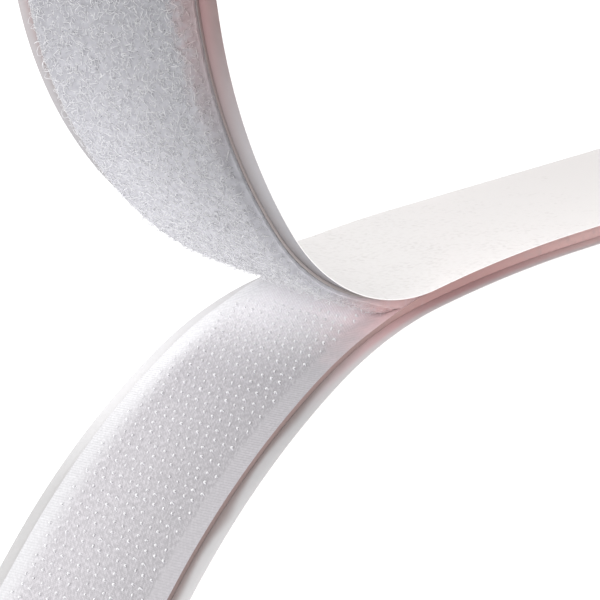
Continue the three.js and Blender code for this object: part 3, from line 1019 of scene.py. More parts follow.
@dataclass(frozen=True)
class BoardFinish(Finish):
    """Brown board with long fibres and a spiral seam."""

    colour: Colour = (0.42, 0.27, 0.14)
    fibre: Colour = (0.52, 0.36, 0.20)
    seam: Colour = (0.231, 0.1485, 0.077)
    fibre_levels: Span = (0.4, 0.7)
    seam_levels: Span = (0.02, 0.008)
    seam_pitch: float = 0.022
    centre_height: float = 0.032

    def surface(self, graph: Graph) -> Socket:
        """Wire the board.

        Args:
            graph: The tree.

        Returns:
            The shader.
        """
        place = self.place(graph)
        shift = (0.0, 0.0, -self.centre_height)
        centred = graph.node("ShaderNodeMapping", {"Vector": place, "Location": shift})
        parts = graph.node("ShaderNodeSeparateXYZ", {0: centred.outputs[0]})
        turn = graph.math("ARCTAN2", parts.outputs["X"], parts.outputs["Z"])
        climb = graph.math("DIVIDE", parts.outputs["Y"], self.seam_pitch)
        phase = graph.math("FRACT", graph.scaled(turn, 1 / FULL_TURN, climb))
        from_seam = graph.math("ABSOLUTE", graph.math("SUBTRACT", phase, 0.5))
        fibres = graph.noise(place, scale=800.0, detail=4.0)
        mottled = graph.mix(graph.ramp(fibres, self.fibre_levels), self.colour, self.fibre)
        return self.principled(
            graph,
            Base_Color=graph.mix(graph.ramp(from_seam, self.seam_levels), mottled, self.seam),
            Roughness=0.9,
            Normal=graph.bump(fibres, distance=0.0001, strength=0.3),
        )


@dataclass(frozen=True)
class FloorFinish(Finish):
    """Pale table that the camera sees as white, with the object's shadow."""

    colour: Colour = (0.85, 0.85, 0.86)
    glow: float = 0.4

    def surface(self, graph: Graph) -> Socket:
        """Wire the table.

        Args:
            graph: The tree.

        Returns:
            The shader.
        """
        plain = graph.node("ShaderNodeBsdfDiffuse", {"Color": self.colour}).outputs[0]
        paths = graph.node("ShaderNodeLightPath")
        seen = graph.most(paths.outputs["Is Camera Ray"], paths.outputs["Is Glossy Ray"])
        light = graph.node("ShaderNodeEmission", {"Strength": graph.times(seen, self.glow)}).outputs[0]
        return graph.node("ShaderNodeAddShader", {0: plain, 1: light}).outputs[0]


def linked(name: str, data: bpy.types.ID) -> bpy.types.Object:
    """Make an object of a mesh, a camera or a lamp in the scene.

    Args:
        name: The object's name.
        data: What it shows.

    Returns:
        The object, at the origin.
    """
    made = bpy.data.objects.new(name, data)
    bpy.context.scene.collection.objects.link(made)
    return made


def mesh_object(
    name: str, points: np.ndarray, faces: Faces, materials: Sequence[bpy.types.Material] = ()
) -> bpy.types.Object:
    """Make a mesh object at the origin.

    Args:
        name: The object's name.
        points: Vertices in millimetres.
        faces: Vertex indices of each face.
        materials: Materials of the object.

    Returns:
        The object.
    """
    mesh = bpy.data.meshes.new(name)
    mesh.from_pydata((points * MM).tolist(), [], faces)
    for material in materials:
        mesh.materials.append(material)
    return linked(name, mesh)


def note_points(made: bpy.types.Object, name: str, kind: str, values: np.ndarray) -> None:
    """Write an attribute on the points of a mesh.

    Args:
        made: The mesh object.
        name: The attribute's name.
        kind: Its data type.
        values: Its values in the order of the points.
    """
    layer = made.data.attributes.new(name, kind, "POINT")
    key = "vector" if kind == "FLOAT_VECTOR" else "value"
    layer.data.foreach_set(key, values.astype(np.float32).ravel())


def ring_faces(rings: int, around: int, closed: bool = False) -> Faces:
    """Join rings of points by four-sided faces.

    Args:
        rings: Number of rings.
        around: Points in each ring.
        closed: Whether the last ring joins the first.

    Returns:
        Vertex indices of the faces.
    """
    faces: Faces = []
    for i in range(rings if closed else rings - 1):
        n = (i + 1) % rings
        for j in range(around):
            k = (j + 1) % around
            faces.append((i * around + j, i * around + k, n * around + k, n * around + j))
    return faces


def tube(path: np.ndarray, radius: float, sides: int) -> tuple[np.ndarray, Faces]:
    """Sweep a small polygon along a path.

    Args:
        path: Points of the path.
        radius: Radius of the polygon.
        sides: Corners of the polygon.

    Returns:
        Vertices and faces of a closed tube.
    """
    tangents = np.gradient(path, axis=0)
    tangents /= np.linalg.norm(tangents, axis=1, keepdims=True)
    any_way = [0.31, 0.87, 0.37]
    side = np.cross(tangents[0], any_way)
    turns = FULL_TURN * np.arange(sides) / sides
    rings = []
    for point, tangent in zip(path, tangents):
        side = side - tangent * np.dot(side, tangent)
        side /= np.linalg.norm(side)
        other = np.cross(tangent, side)
        rings.append(point + radius * (np.outer(np.cos(turns), side) + np.outer(np.sin(turns), other)))
    count = len(path)
    first, last = range(sides), range((count - 1) * sides, count * sides)
    faces = [tuple(reversed(first)), *ring_faces(count, sides), tuple(last)]
    return np.concatenate(rings), faces


def smooth(made: bpy.types.Object, sharp_angle: float = 40.0) -> None:
    """Shade the faces smooth and keep the edges sharp.

    Args:
        made: The mesh object.
        sharp_angle: Least angle of a sharp edge.
    """
    made.data.shade_smooth()
    made.data.set_sharp_from_angle(angle=math.radians(sharp_angle))
    made.data.update()


def level(value: float) -> Heights:
    """A layer height that is the same everywhere."""
    return lambda s, y: np.full(np.broadcast_shapes(np.shape(s), np.shape(y)), value)


def smoothstep(value: np.ndarray, low: float, high: float) -> np.ndarray:
    """Rise smoothly from zero at low to one at high."""
    share = np.clip((value - low) / (high - low), 0.0, 1.0)
    return share * share * (3 - 2 * share)


@dataclass
class Ribbon:
    """A closed strip of one layer of a tape, with the tape's own coordinates."""

    name: str
    run: Run
    stations: np.ndarray
    across: np.ndarray
    low: Heights
    high: Heights

    def build(
        self, under: bpy.types.Material, over: bpy.types.Material, edge: bpy.types.Material
    ) -> bpy.types.Object:
        """Make the strip.

        Args:
            under: Material of the lower face.
            over: Material of the upper face.
            edge: Material of the edges and ends.

        Returns:
            The strip.
        """
        s, y = self.stations[:, None], self.across[None, :]
        below = self.run.at(s, y, self.low(s, y))
        above = self.run.at(s, y, self.high(s, y))
        rings = np.concatenate([below, above[:, ::-1]], axis=1)
        count, around = rings.shape[:2]
        width = len(self.across)
        first = tuple(range(around))
        last = tuple(reversed(range((count - 1) * around, count * around)))
        faces = [face[::-1] for face in ring_faces(count, around)] + [first, last]
        under_index, over_index, edge_index = range(3)
        kinds = [under_index] * (width - 1) + [edge_index] + [over_index] * (width - 1) + [edge_index]
        kinds = kinds * (count - 1) + [edge_index, edge_index]
        made = mesh_object(self.name, rings.reshape(-1, 3), faces, [under, over, edge])
        made.data.polygons.foreach_set("material_index", kinds)
        sheet_y = np.concatenate([self.across, self.across[::-1]])
        length = self.run.cloth_length(s, sheet_y[None, :])
        cloth = np.stack([np.broadcast_to(sheet_y, length.shape), length], axis=-1).reshape(-1, 2)
        corners = np.zeros(len(made.data.loops), dtype=np.int32)
        made.data.loops.foreach_get("vertex_index", corners)
        layer = made.data.uv_layers.new(name="Cloth")
        layer.data.foreach_set("uv", cloth[corners].astype(np.float32).ravel())
        smooth(made)
        return made


class Scatter:
    """A Geometry Nodes tree that sets small shapes on points and turns them into one mesh."""

    def __init__(self, name: str) -> None:
        """Start the tree with its geometry sockets.

        Args:
            name: The tree's name.
        """
        self.tree = bpy.data.node_groups.new(name, "GeometryNodeTree")
        self.graph = Graph(self.tree)
        self._socket("Geometry", "INPUT", "NodeSocketGeometry")
        self._socket("Geometry", "OUTPUT", "NodeSocketGeometry")
        self.inputs: dict[str, str] = {}
        self.entry = self.graph.node("NodeGroupInput")
        self.exit = self.graph.node("NodeGroupOutput")

    def _socket(self, name: str, side: str, kind: str) -> bpy.types.NodeTreeInterfaceSocket:
        """Add a socket to the tree's interface."""
        return self.tree.interface.new_socket(name=name, in_out=side, socket_type=kind)

    def size(self, name: str, kind: str = "NodeSocketFloat") -> Socket:
        """Add a named input of some socket type, and return its socket inside the tree."""
        self.inputs[name] = self._socket(name, "INPUT", kind).identifier
        return self.entry.outputs[name]

    def random(self, low: object, high: object, seed: int, kind: str = "FLOAT") -> Socket:
        """Add a random value for each point.

        Args:
            low: Least value.
            high: Greatest value.
            seed: Fixed seed.
            kind: Data type.

        Returns:
            The value.
        """
        made = self.graph.node("FunctionNodeRandomValue", data_type=kind)
        by_name = {socket.name: socket for socket in made.inputs if socket.enabled}
        for name, value in (("Min", low), ("Max", high), ("Seed", seed)):
            self.graph.feed(by_name[name], value)
        return next(socket for socket in made.outputs if socket.enabled)

    def attribute(self, name: str, kind: str) -> Socket:
        """Read a named attribute of the points."""
        made = self.graph.node("GeometryNodeInputNamedAttribute", {"Name": name}, data_type=kind)
        return next(socket for socket in made.outputs if socket.enabled and socket.name == "Attribute")

    def turned(self, angles: Socket) -> Socket:
        """Turn angles in radians into a rotation."""
        return self.graph.node("FunctionNodeEulerToRotation", {0: angles}).outputs[0]

    def close(self, material: bpy.types.Material, **feeds: object) -> None:
        """Set the shapes on the points and end the tree in one mesh of one material.

        Args:
            material: Material of the mesh.
            feeds: Inputs of the node that sets the shapes, by name and with _ for a space.
        """
        named = {name.replace("_", " "): value for name, value in feeds.items()}
        placed = self.graph.node("GeometryNodeInstanceOnPoints", named)
        real = self.graph.node("GeometryNodeRealizeInstances", {"Geometry": placed.outputs[0]})
        dress = {"Geometry": real.outputs[0], "Material": material}
        dressed = self.graph.node("GeometryNodeSetMaterial", dress)
        self.graph.feed(self.exit.inputs["Geometry"], dressed.outputs[0])

    def bake(self, carrier: bpy.types.Object, values: dict[str, object], name: str) -> bpy.types.Object:
        """Run the tree on a carrier and keep the result in its place.

        Args:
            carrier: Object with the points or the surface, which goes.
            values: Values of the tree's inputs by name.
            name: Name of the result.

        Returns:
            The plain mesh object.
        """
        modifier = carrier.modifiers.new("Scatter", "NODES")
        modifier.node_group = self.tree
        for key, value in values.items():
            modifier[self.inputs[key]] = value
        graph = bpy.context.evaluated_depsgraph_get()
        mesh = bpy.data.meshes.new_from_object(carrier.evaluated_get(graph), depsgraph=graph)
        bpy.data.objects.remove(carrier)
        mesh.name = name
        return linked(name, mesh)


@dataclass
class Finishes:
    """All materials of the roll."""

    liner: bpy.types.Material
    hook_release: bpy.types.Material
    loop_release: bpy.types.Material
    hook_weave: bpy.types.Material
    loop_weave: bpy.types.Material
    hook_edge: bpy.types.Material
    loop_edge: bpy.types.Material
    adhesive: bpy.types.Material
    pile_bed: bpy.types.Material
    fibres: bpy.types.Material
    hooks: bpy.types.Material
    board: bpy.types.Material

    @classmethod
    def along(cls, runs: TapeRuns) -> "Finishes":
        """Make the materials, which change at the peel line.

        Args:
            runs: Paths of the tapes.

        Returns:
            The materials.
        """
        hook, loop = runs.hook_peel, runs.loop_near_peel
        # Loop weave: a dark field with painted shade, and painted light near the peel line and on the far
        # side.
        loop_weave = WeaveFinish(
            loop,
            field_colour=(0.33, 0.295, 0.295),
            peel_painted_light=(0.50, 0.45, 0.45),
            far_painted_light=((0.60, 0.60, 0.62), (0.60, 0.60, 0.62)),
            near_shade_share=0.55,
        )
        # Loop liner: grey strips with painted shade that go dark and pink up the leg (painted shade and
        # painted pink reflection), and a stain with painted shadow beside the tape.
        loop_release = ReleaseFinish(
            loop,
            near=((0.395, 0.395, 0.41), (0.18, 0.12, 0.115)),
            far=((0.47, 0.465, 0.48), (0.44, 0.41, 0.415)),
            stain=((0.31, 0.285, 0.285), (0.33, 0.19, 0.19)),
            near_stretch=(32.0, 58.0),
            far_stretch=(32.0, 58.0),
            opening=(-17.0, -9.0),
            outer_painted_light=1.0,
            stain_shadow_band=(2.1, 0.2),
            stain_shadow_wave=0.0,
            far_stain_shadow=1.0,
        )
        # Loop edge: painted shade on the open leg.
        loop_edge = EdgeFinish(loop, open_shade=(0.2, 0.15, 0.145), corner_shade=(0.42, 0.38, 0.37))
        # Pile: painted shade towards the tip and on the flank, stronger in the bed than in the fibres.
        bed = PileFinish(
            loop,
            light=(0.755, 0.75, 0.80),
            dark=(0.615, 0.61, 0.655),
            glow=0.1,
            tip_shade=0.46,
            flank_shade=0.8,
            softness=0.9,
        )
        fibres = PileFinish(
            loop,
            light=(0.99, 0.99, 1.0),
            dark=(0.97, 0.97, 0.99),
            glow=0.3,
            tip_shade=0.85,
            flank_shade=0.86,
        )
        return cls(
            liner=PaperFinish(loop).material("liner_paper"),
            hook_release=ReleaseFinish(hook).material("hook_release_side"),
            loop_release=loop_release.material("loop_release_side"),
            hook_weave=WeaveFinish(hook).material("hook_weave"),
            loop_weave=loop_weave.material("loop_weave"),
            hook_edge=EdgeFinish(hook).material("hook_tape_edge"),
            loop_edge=loop_edge.material("loop_tape_edge"),
            adhesive=AdhesiveFinish().material("adhesive_coat"),
            pile_bed=bed.material("pile_bed"),
            fibres=fibres.material("pile_fibre"),
            hooks=HookFinish().material("hook_filament"),
            board=BoardFinish().material("core_board"),
        )


def settle(
    piece: bpy.types.Object, nodes: Sequence[str], body: Body = Body.ROLL
) -> bpy.types.Object:
    """Ride a piece on a body in place of its CAD nodes."""
    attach(piece, body.value)
    return note(piece, nodes)


def bend(
    piece: bpy.types.Object,
    slot: Slot,
    nodes: Sequence[str],
    bodies: tuple[Body, Body],
    ends: tuple[Vector, Vector],
) -> bpy.types.Object:
    """Bake a piece's placement into its mesh, in place of its CAD nodes."""
    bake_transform(piece)
    return note(piece, nodes)


def note(piece: bpy.types.Object, nodes: Sequence[str]) -> bpy.types.Object:
    """Hide a piece's CAD nodes, and report it.

    Args:
        piece: The piece.
        nodes: Nodes that it stands for.

    Returns:
        The piece.
    """
    if nodes:
        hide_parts(*nodes)
    LOG.info("%s: %d faces, for %s", piece.name, len(piece.data.polygons), ", ".join(nodes) or "detail")
    return piece


def bend_ends(name: str, way: Point, reach: Span) -> tuple[Vector, Vector]:
    """Where the bend at a joint starts and ends.

    Args:
        name: The joint's name.
        way: Rough direction from the parent to the child.
        reach: Distances from the hinge line back to the start and on to the end.

    Returns:
        Start and end, on a line square to the hinge.
    """
    joint = next(entry for entry in frame["joints"] if entry["name"] == name)
    place, axis = Vector(joint["pos_m"]), Vector(joint["axis"]).normalized()
    out = Vector(way)
    line = (out - axis * out.dot(axis)).normalized()
    return place - line * reach[0] * MM, place + line * reach[1] * MM


@dataclass
class Core:
    """Paper core of the roll."""

    sizes: TapeSizes
    height: float
    sides: int = 96
    chamfer: float = 0.3

    def build(self, finishes: Finishes) -> None:
        """Make the tube and ride it on the roll.

        Args:
            finishes: The materials.
        """
        inner, half, cut = self.sizes.core_bore, self.sizes.half_liner, self.chamfer
        outer = inner + self.sizes.core_wall
        ring = [
            (inner + cut, -half),
            (outer - cut, -half),
            (outer, cut - half),
            (outer, half - cut),
            (outer - cut, half),
            (inner + cut, half),
            (inner, half - cut),
            (inner, cut - half),
        ]
        turns = FULL_TURN * np.arange(self.sides) / self.sides
        points = np.array(
            [
                [radius * math.cos(turn), y, self.height + radius * math.sin(turn)]
                for turn in turns
                for radius, y in ring
            ]
        )
        faces = ring_faces(self.sides, len(ring), closed=True)
        made = mesh_object("core_tube", points, faces, [finishes.board])
        smooth(made)
        settle(made, ["core"])


@dataclass
class TapeSide:
    """What both tapes have: a woven ribbon with thick selvedges, an adhesive coat and a liner."""

    runs: TapeRuns
    lip: float = 0.47
    lip_length: float = 9.0
    lip_start: float = 2.0
    lip_band: Span = (2.0, 0.2)
    weave_columns: tuple[float, ...] = (0, 0.3, 0.6, 0.76, 0.84, 0.89, 0.93, 0.97, 1.0)
    coat_columns: int = 5
    coat_inset: float = 0.05
    liner_columns: int = 7

    def lips(self, s: np.ndarray, y: np.ndarray, peel: float) -> np.ndarray:
        """Height of the selvedges, which are thick as far as the peel line.

        Args:
            s: Distances along the run.
            y: Distances from the middle.
            peel: Distance of the peel line along the run.

        Returns:
            The heights.
        """
        half = self.runs.sizes.half_tape
        edge = smoothstep(np.abs(y), half - self.lip_band[0], half - self.lip_band[1])
        return self.lip * edge * (1 - smoothstep(s, peel - self.lip_start, peel + self.lip_length))

    def weave(self, name: str, run: Run, low: Heights, high: Heights) -> Ribbon:
        """Lay out the woven ribbon, with narrow columns along its edges.

        Args:
            name: The ribbon's name.
            run: Path of the tape.
            low: Heights of its lower face.
            high: Heights of its upper face.

        Returns:
            The ribbon.
        """
        steps = np.array(self.weave_columns)
        across = np.concatenate([-steps[:0:-1], steps]) * self.runs.sizes.half_tape
        return Ribbon(name, run, run.length, across, low, high)

    def coat(self, name: str, run: Run, low: float, high: float) -> Ribbon:
        """Lay out the adhesive along a run, between two heights."""
        across = np.linspace(-1, 1, self.coat_columns) * (self.runs.sizes.half_tape - self.coat_inset)
        return Ribbon(name, run, run.length, across, level(low), level(high))

    def liner(self, name: str, run: Run, stations: np.ndarray, low: float, high: float) -> Ribbon:
        """Lay out a stretch of the liner along a run, between two heights."""
        across = np.linspace(-1, 1, self.liner_columns) * self.runs.sizes.half_liner
        return Ribbon(name, run, stations, across, level(low), level(high))


@dataclass
class HookSide(TapeSide):
    """Hook tape, its adhesive and its liner."""

    flap_way: Point = (-1.0, 0.0, 0.5)
    flap_reach: Span = (0.5, 5.0)
    hook_rows: tuple[tuple[float, float], tuple[float, float]] = ((0.31, -1.62), (-1.41, 0.72))
    hook_reach: int = 160
    hook_shift: float = 0.03
    hook_spin: float = 0.25
    hook_scale: Span = (0.88, 1.1)
    hook_height: float = 0.44
    hook_radius: float = 0.086
    hook_curl: float = 0.092
    hook_turn: float = 205.0
    hook_root: float = 0.12
    hook_steps: int = 7
    hook_sides: int = 5
    far_margin: float = 0.8
    root_margin: float = 2.0
    tip_margin: float = 1.2
    caught_length: float = 6.2
    seed: int = 11

    def build(self, finishes: Finishes) -> None:
        """Make the ribbon, its coats and its hooks.

        Args:
            finishes: The materials.
        """
        sizes, run = self.runs.sizes, self.runs.hook
        (glue_front, glue_back), (liner_front, liner_back) = sizes.glue_span, sizes.liner_span
        ground = self.weave("hook_tape_weave", run, level(-sizes.ground), self._face)
        tape = ground.build(finishes.hook_weave, finishes.hook_weave, finishes.hook_edge)
        settle(tape, ["wound_hook_tape", "hook_ground"])
        glue = self.coat("hook_adhesive_coat", run, -glue_back, -glue_front)
        coat = glue.build(finishes.adhesive, finishes.adhesive, finishes.hook_edge)
        settle(coat, ["hook_adhesive"])
        paper = self.liner("hook_liner_paper", run, run.length, -liner_back, -liner_front)
        liner = paper.build(finishes.liner, finishes.hook_release, finishes.liner)
        ends = bend_ends("hook_liner_peel", self.flap_way, self.flap_reach)
        nodes = ["wound_hook_liner", "hook_liner", "hook_liner_flap"]
        bend(liner, Slot.LINER, nodes, (Body.ROLL, Body.HOOK_FLAP), ends)
        hooks = self._hooks(finishes)
        settle(hooks, ["hook_rows_upper", "hook_rows_lower", "hook_rows_end"])

    def _face(self, s: np.ndarray, y: np.ndarray) -> np.ndarray:
        """Face of the tape, raised along its edges as far as the peel line."""
        return self.lips(s, y, self.runs.hook_peel)

    def _lattice(self) -> tuple[np.ndarray, np.ndarray, np.ndarray]:
        """Lay out the hooks in slanted rows.

        Returns:
            Their places along and across the tape, and the way each one leans.
        """
        sizes, run = self.runs.sizes, self.runs.hook
        start = self.runs.hook_peel - sizes.peel_slant + self.root_margin
        end = run.total - self.tip_margin
        row, neighbour = self.hook_rows
        grid = np.arange(-self.hook_reach, self.hook_reach + 1)
        i, j = np.meshgrid(grid, grid, indexing="ij")
        s = (i * row[0] + j * neighbour[0]).ravel() + (start + end) / 2
        y = (i * row[1] + j * neighbour[1]).ravel()
        rng = np.random.default_rng(self.seed)
        s = s + rng.normal(0, self.hook_shift, s.shape)
        y = y + rng.normal(0, self.hook_shift, y.shape)
        first = self.runs.hook_peel + self.caught_length
        inside = (y > -sizes.half_field) & (y < sizes.half_field + self.far_margin)
        keep = inside & (s > first) & (s < end)
        return s[keep], y[keep], (1.0 - 2.0 * (j.ravel() % 2))[keep]

    def _hook_shape(self) -> bpy.types.Object:
        """Make one hook: a stem that curls over to a cut end.

        Returns:
            The hook, with its lift from zero to one.
        """
        curl, top = self.hook_curl, self.hook_height - self.hook_radius
        bend_height = top - curl
        turns = np.linspace(0, math.radians(self.hook_turn), self.hook_steps)
        arc = np.stack([curl * (1 - np.cos(turns)), 0 * turns, bend_height + curl * np.sin(turns)], axis=-1)
        stem = np.array([[0, 0, -self.hook_root], [0, 0, bend_height / 2]])
        points, faces = tube(np.concatenate([stem, arc]), self.hook_radius, self.hook_sides)
        made = mesh_object("hook_shape", points, faces)
        made.data.shade_smooth()
        note_points(made, "lift", "FLOAT", points[:, 2] / self.hook_height)
        return made

    def _hooks(self, finishes: Finishes) -> bpy.types.Object:
        """Set the hooks on the tape by their lattice.

        Args:
            finishes: The materials.

        Returns:
            The hook field.
        """
        s, y, leans = self._lattice()
        run = self.runs.hook
        along, across, out = run.axes(s, y)
        rng = np.random.default_rng(self.seed + 1)
        turns = []
        for ahead, aside, up, lean in zip(along, across, out, leans):
            base = Matrix((ahead * lean, aside * lean, up)).transposed()
            spin = Matrix.Rotation(rng.normal(0, self.hook_spin), 3, "Z")
            turns.append((base @ spin).to_euler("XYZ")[:])
        carrier = mesh_object("hook_places", run.at(s, y, 0.0), [])
        note_points(carrier, "turn", "FLOAT_VECTOR", np.array(turns))
        shape = self._hook_shape()
        scatter = Scatter("hook_field")
        least, most = scatter.size("Least Scale"), scatter.size("Greatest Scale")
        hook = scatter.size("Hook", "NodeSocketObject")
        info = scatter.graph.node("GeometryNodeObjectInfo", {"Object": hook})
        scatter.close(
            finishes.hooks,
            Points=scatter.entry.outputs["Geometry"],
            Instance=info.outputs["Geometry"],
            Rotation=scatter.turned(scatter.attribute("turn", "FLOAT_VECTOR")),
            Scale=scatter.random(least, most, self.seed),
        )
        values = {"Least Scale": self.hook_scale[0], "Greatest Scale": self.hook_scale[1], "Hook": shape}
        made = scatter.bake(carrier, values, "hook_field")
        bpy.data.objects.remove(shape)
        return made


@dataclass
class LoopSide(TapeSide):
    """Loop tape with its pile, its adhesive and its liner."""

    lip_length: float = 7.0
    leg_way: Point = (-1.0, 0.0, 0.0)
    leg_reach: Span = (0.5, 16.0)
    flap_way: Point = (-1.0, 0.0, 1.2)
    flap_reach: Span = (-0.1, 9.0)
    edge_thinning: float = 0.22
    edge_slope: float = 1.2
    bed_height: float = 1.0
    bed_inset: float = 0.12
    bed_root: float = 0.01
    bed_cover: float = 0.03
    bed_columns: int = 52
    bed_step: float = 0.4
    mated_bed: float = 0.9
    mated_margin: float = 4.0
    round_band: float = 1.5
    round_length: float = 12.0
    round_share: float = 0.85
    drawn_pile: float = 0.8
    drawn_length: float = 13.0
    drawn_fall: float = 0.65
    tuft: float = 0.03
    tuft_stretch: Span = (-2.0, 6.0)
    carrier_step: float = 0.8
    carrier_columns: int = 49
    carrier_insets: Span = (0.45, 0.4)
    rise_least: float = 0.45
    rise_length: float = 12.0
    rise_edge: float = 0.6
    rise_band: float = 1.5
    loop_density: float = 4.2
    loop_radius: float = 0.03
    loop_sides: int = 3
    loop_steps: int = 6
    loop_root: float = 0.07
    loop_bow: float = 0.8
    loop_curl: float = 0.12
    loop_sway: float = 1.5
    loop_span: Span = (0.4, 1.0)
    loop_swing: Span = (0.1, 0.4)
    loop_tilt: float = 0.3
    loop_scale: Span = (0.75, 1.25)
    loop_margins: Span = (0.5, 0.3)
    short_loops: Span = (0.12, 0.26)
    tall_loops: Span = (0.4, 0.75)
    tall_every: int = 5
    cut_every: int = 3
    cut_share: float = 0.55
    shapes: int = 14
    seed: int = 29

    def build(self, finishes: Finishes) -> None:
        """Make the ribbon, its coats and its pile.

        Args:
            finishes: The materials.
        """
        sizes, run = self.runs.sizes, self.runs.loop
        bodies = (Body.ROLL, Body.LOOP_LEG)
        ends = bend_ends("loop_peel", self.leg_way, self.leg_reach)
        ground = self.weave("loop_tape_weave", run, self._face, level(sizes.ground))
        tape = ground.build(finishes.loop_weave, finishes.loop_weave, finishes.loop_edge)
        nodes = ["wound_loop_tape", "tail_loop_ground", "loop_leg_ground"]
        bend(tape, Slot.LOOP_TAPE, nodes, bodies, ends)
        glue = self.coat("loop_adhesive_coat", run, *sizes.glue_span)
        coat = glue.build(finishes.adhesive, finishes.adhesive, finishes.loop_edge)
        bend(coat, Slot.ADHESIVE, ["tail_loop_adhesive", "loop_leg_adhesive"], bodies, ends)
        self._liners(finishes, coat, ends)
        bed = self._bed().build(finishes.pile_bed, finishes.pile_bed, finishes.pile_bed)
        bend(bed, Slot.PILE, ["tail_loop_pile", "loop_leg_pile"], bodies, ends)
        for loops in self._loops(finishes):
            bend(loops, Slot.PILE, [], bodies, ends)

    def _liners(self, finishes: Finishes, coat: bpy.types.Object, ends: tuple[Vector, Vector]) -> None:
        """Make the liner, in the stretch that holds and the end that peels.

        Args:
            finishes: The materials.
            coat: The adhesive under it; not used.
            ends: Where the tape bends at the peel line.
        """
        sizes, run = self.runs.sizes, self.runs.loop
        peel_index = int(np.searchsorted(run.length, self.runs.loop_peel))
        near_from_peel = run.near_length - run.near_length[peel_index]
        cut = int(np.searchsorted(near_from_peel, sizes.liner_held))
        held_run, loose_run = run.length[: cut + 1], run.length[cut:]
        dress = (finishes.loop_release, finishes.liner, finishes.liner)
        held = self.liner("loop_liner_paper", run, held_run, *sizes.liner_span).build(*dress)
        loose = self.liner("loop_liner_end", run, loose_run, *sizes.liner_span).build(*dress)
        nodes = ["wound_loop_liner", "tail_loop_liner", "loop_leg_liner"]
        bend(held, Slot.LINER, nodes, (Body.ROLL, Body.LOOP_LEG), ends)
        flap_ends = bend_ends("loop_liner_peel", self.flap_way, self.flap_reach)
        bend(loose, Slot.LINER, ["loop_liner_flap"], (Body.LOOP_LEG, Body.LOOP_FLAP), flap_ends)

    def _onward(self, s: np.ndarray, start: float, end: float) -> np.ndarray:
        """Rise from zero to one between two distances from the peel line."""
        return smoothstep(s, self.runs.loop_peel + start, self.runs.loop_peel + end)

    def _face(self, s: np.ndarray, y: np.ndarray) -> np.ndarray:
        """Face of the tape, with thick edges as far as the peel line and thin ones on the leg."""
        return self._thinned(s, y) - self.lips(s, y, self.runs.loop_peel)

    def _thinned(self, s: np.ndarray, y: np.ndarray) -> np.ndarray:
        """How much thinner the ribbon is along the edges of the leg.

        Args:
            s: Distances along the run.
            y: Distances from the middle.

        Returns:
            The loss of thickness.
        """
        half = self.runs.sizes.half_tape
        edge = smoothstep(np.abs(y), half - self.edge_slope, half)
        return self.edge_thinning * edge * self._onward(s, 0.0, self.drawn_length)

    def _bed_depth(self, s: np.ndarray, y: np.ndarray) -> np.ndarray:
        """Depth of the pile's dense part, pressed flat in the tail and drawn out by the hooks.

        Args:
            s: Distances along the run.
            y: Distances from the middle.

        Returns:
            The depths.
        """
        half = self.runs.sizes.half_tape
        from_peel = (s - self.runs.loop_peel) / self.drawn_length
        drawn = np.sin(math.pi * np.clip(from_peel, 0, 1)) ** 2
        near = 1 - self.drawn_fall * smoothstep(y, -half, half)
        leg = self._onward(s, -self.mated_margin, self.mated_margin)
        flat = self.mated_bed + (self.bed_height - self.mated_bed) * leg
        return flat + self.drawn_pile * drawn * near

    def _bed_face(self, s: np.ndarray, y: np.ndarray) -> np.ndarray:
        """Depth of the pile's dense part, rounded off along the edges of the leg.

        Args:
            s: Distances along the run.
            y: Distances from the middle.

        Returns:
            The depths.
        """
        half = self.runs.sizes.half_tape - self.bed_inset
        edge = smoothstep(np.abs(y), half - self.round_band, half)
        loose = self._onward(s, 0.0, self.round_length)
        return self._bed_depth(s, y) * (1 - edge * self.round_share * loose)

    def _bed(self) -> Ribbon:
        """Lay out the pile's dense part, uneven on the leg.

        Returns:
            The bed.
        """
        run = self.runs.loop
        rng = np.random.default_rng(self.seed)
        half = self.runs.sizes.half_tape - self.bed_inset

        def under(s: np.ndarray, y: np.ndarray) -> np.ndarray:
            """Uneven face of the pile.

            Args:
                s: Distances along the run.
                y: Distances from the middle.

            Returns:
                The heights.
            """
            tufts = rng.normal(0, self.tuft, np.broadcast_shapes(s.shape, y.shape))
            loose = self._onward(s, *self.tuft_stretch)
            return -self._bed_face(s, y) * (1 + tufts * loose) - self.bed_cover

        def over(s: np.ndarray, y: np.ndarray) -> np.ndarray:
            """Root of the pile, just below the ribbon."""
            return self._thinned(s, y) - self.bed_root

        start = self.runs.loop_peel - self.mated_margin
        leg = np.arange(start, run.total, self.bed_step)
        stations = np.unique(np.concatenate([run.length[run.length < start], leg, [run.total]]))
        return Ribbon("loop_pile_bed", run, stations, np.linspace(-half, half, self.bed_columns), under, over)

    def _loop_shapes(self) -> bpy.types.Collection:
        """Make a few curled fibres of different height and turn.

        Returns:
            The fibres, out of the scene.
        """
        rng = np.random.default_rng(self.seed + 1)
        group = bpy.data.collections.new("loop_shapes")
        share = np.linspace(0, 1, self.loop_steps)
        for k in range(self.shapes):
            height = rng.uniform(*(self.short_loops if k % self.tall_every else self.tall_loops))
            span = rng.uniform(*self.loop_span)
            swing, phase = rng.uniform(*self.loop_swing), rng.uniform(0, FULL_TURN)
            bow = np.sin(math.pi * share * (1.0 if k % self.cut_every else self.cut_share))
            wide = span * (share - 0.5) + self.loop_curl * np.sin(FULL_TURN * share + phase)
            aside = swing * np.sin(self.loop_sway * math.pi * share + phase) - swing * math.sin(phase)
            path = np.stack([wide, aside, height * bow**self.loop_bow - self.loop_root], axis=-1)
            points, faces = tube(path, self.loop_radius, self.loop_sides)
            shape = mesh_object(f"loop_shape_{k:02d}", points, faces)
            shape.data.shade_smooth()
            bpy.context.scene.collection.objects.unlink(shape)
            group.objects.link(shape)
        return group

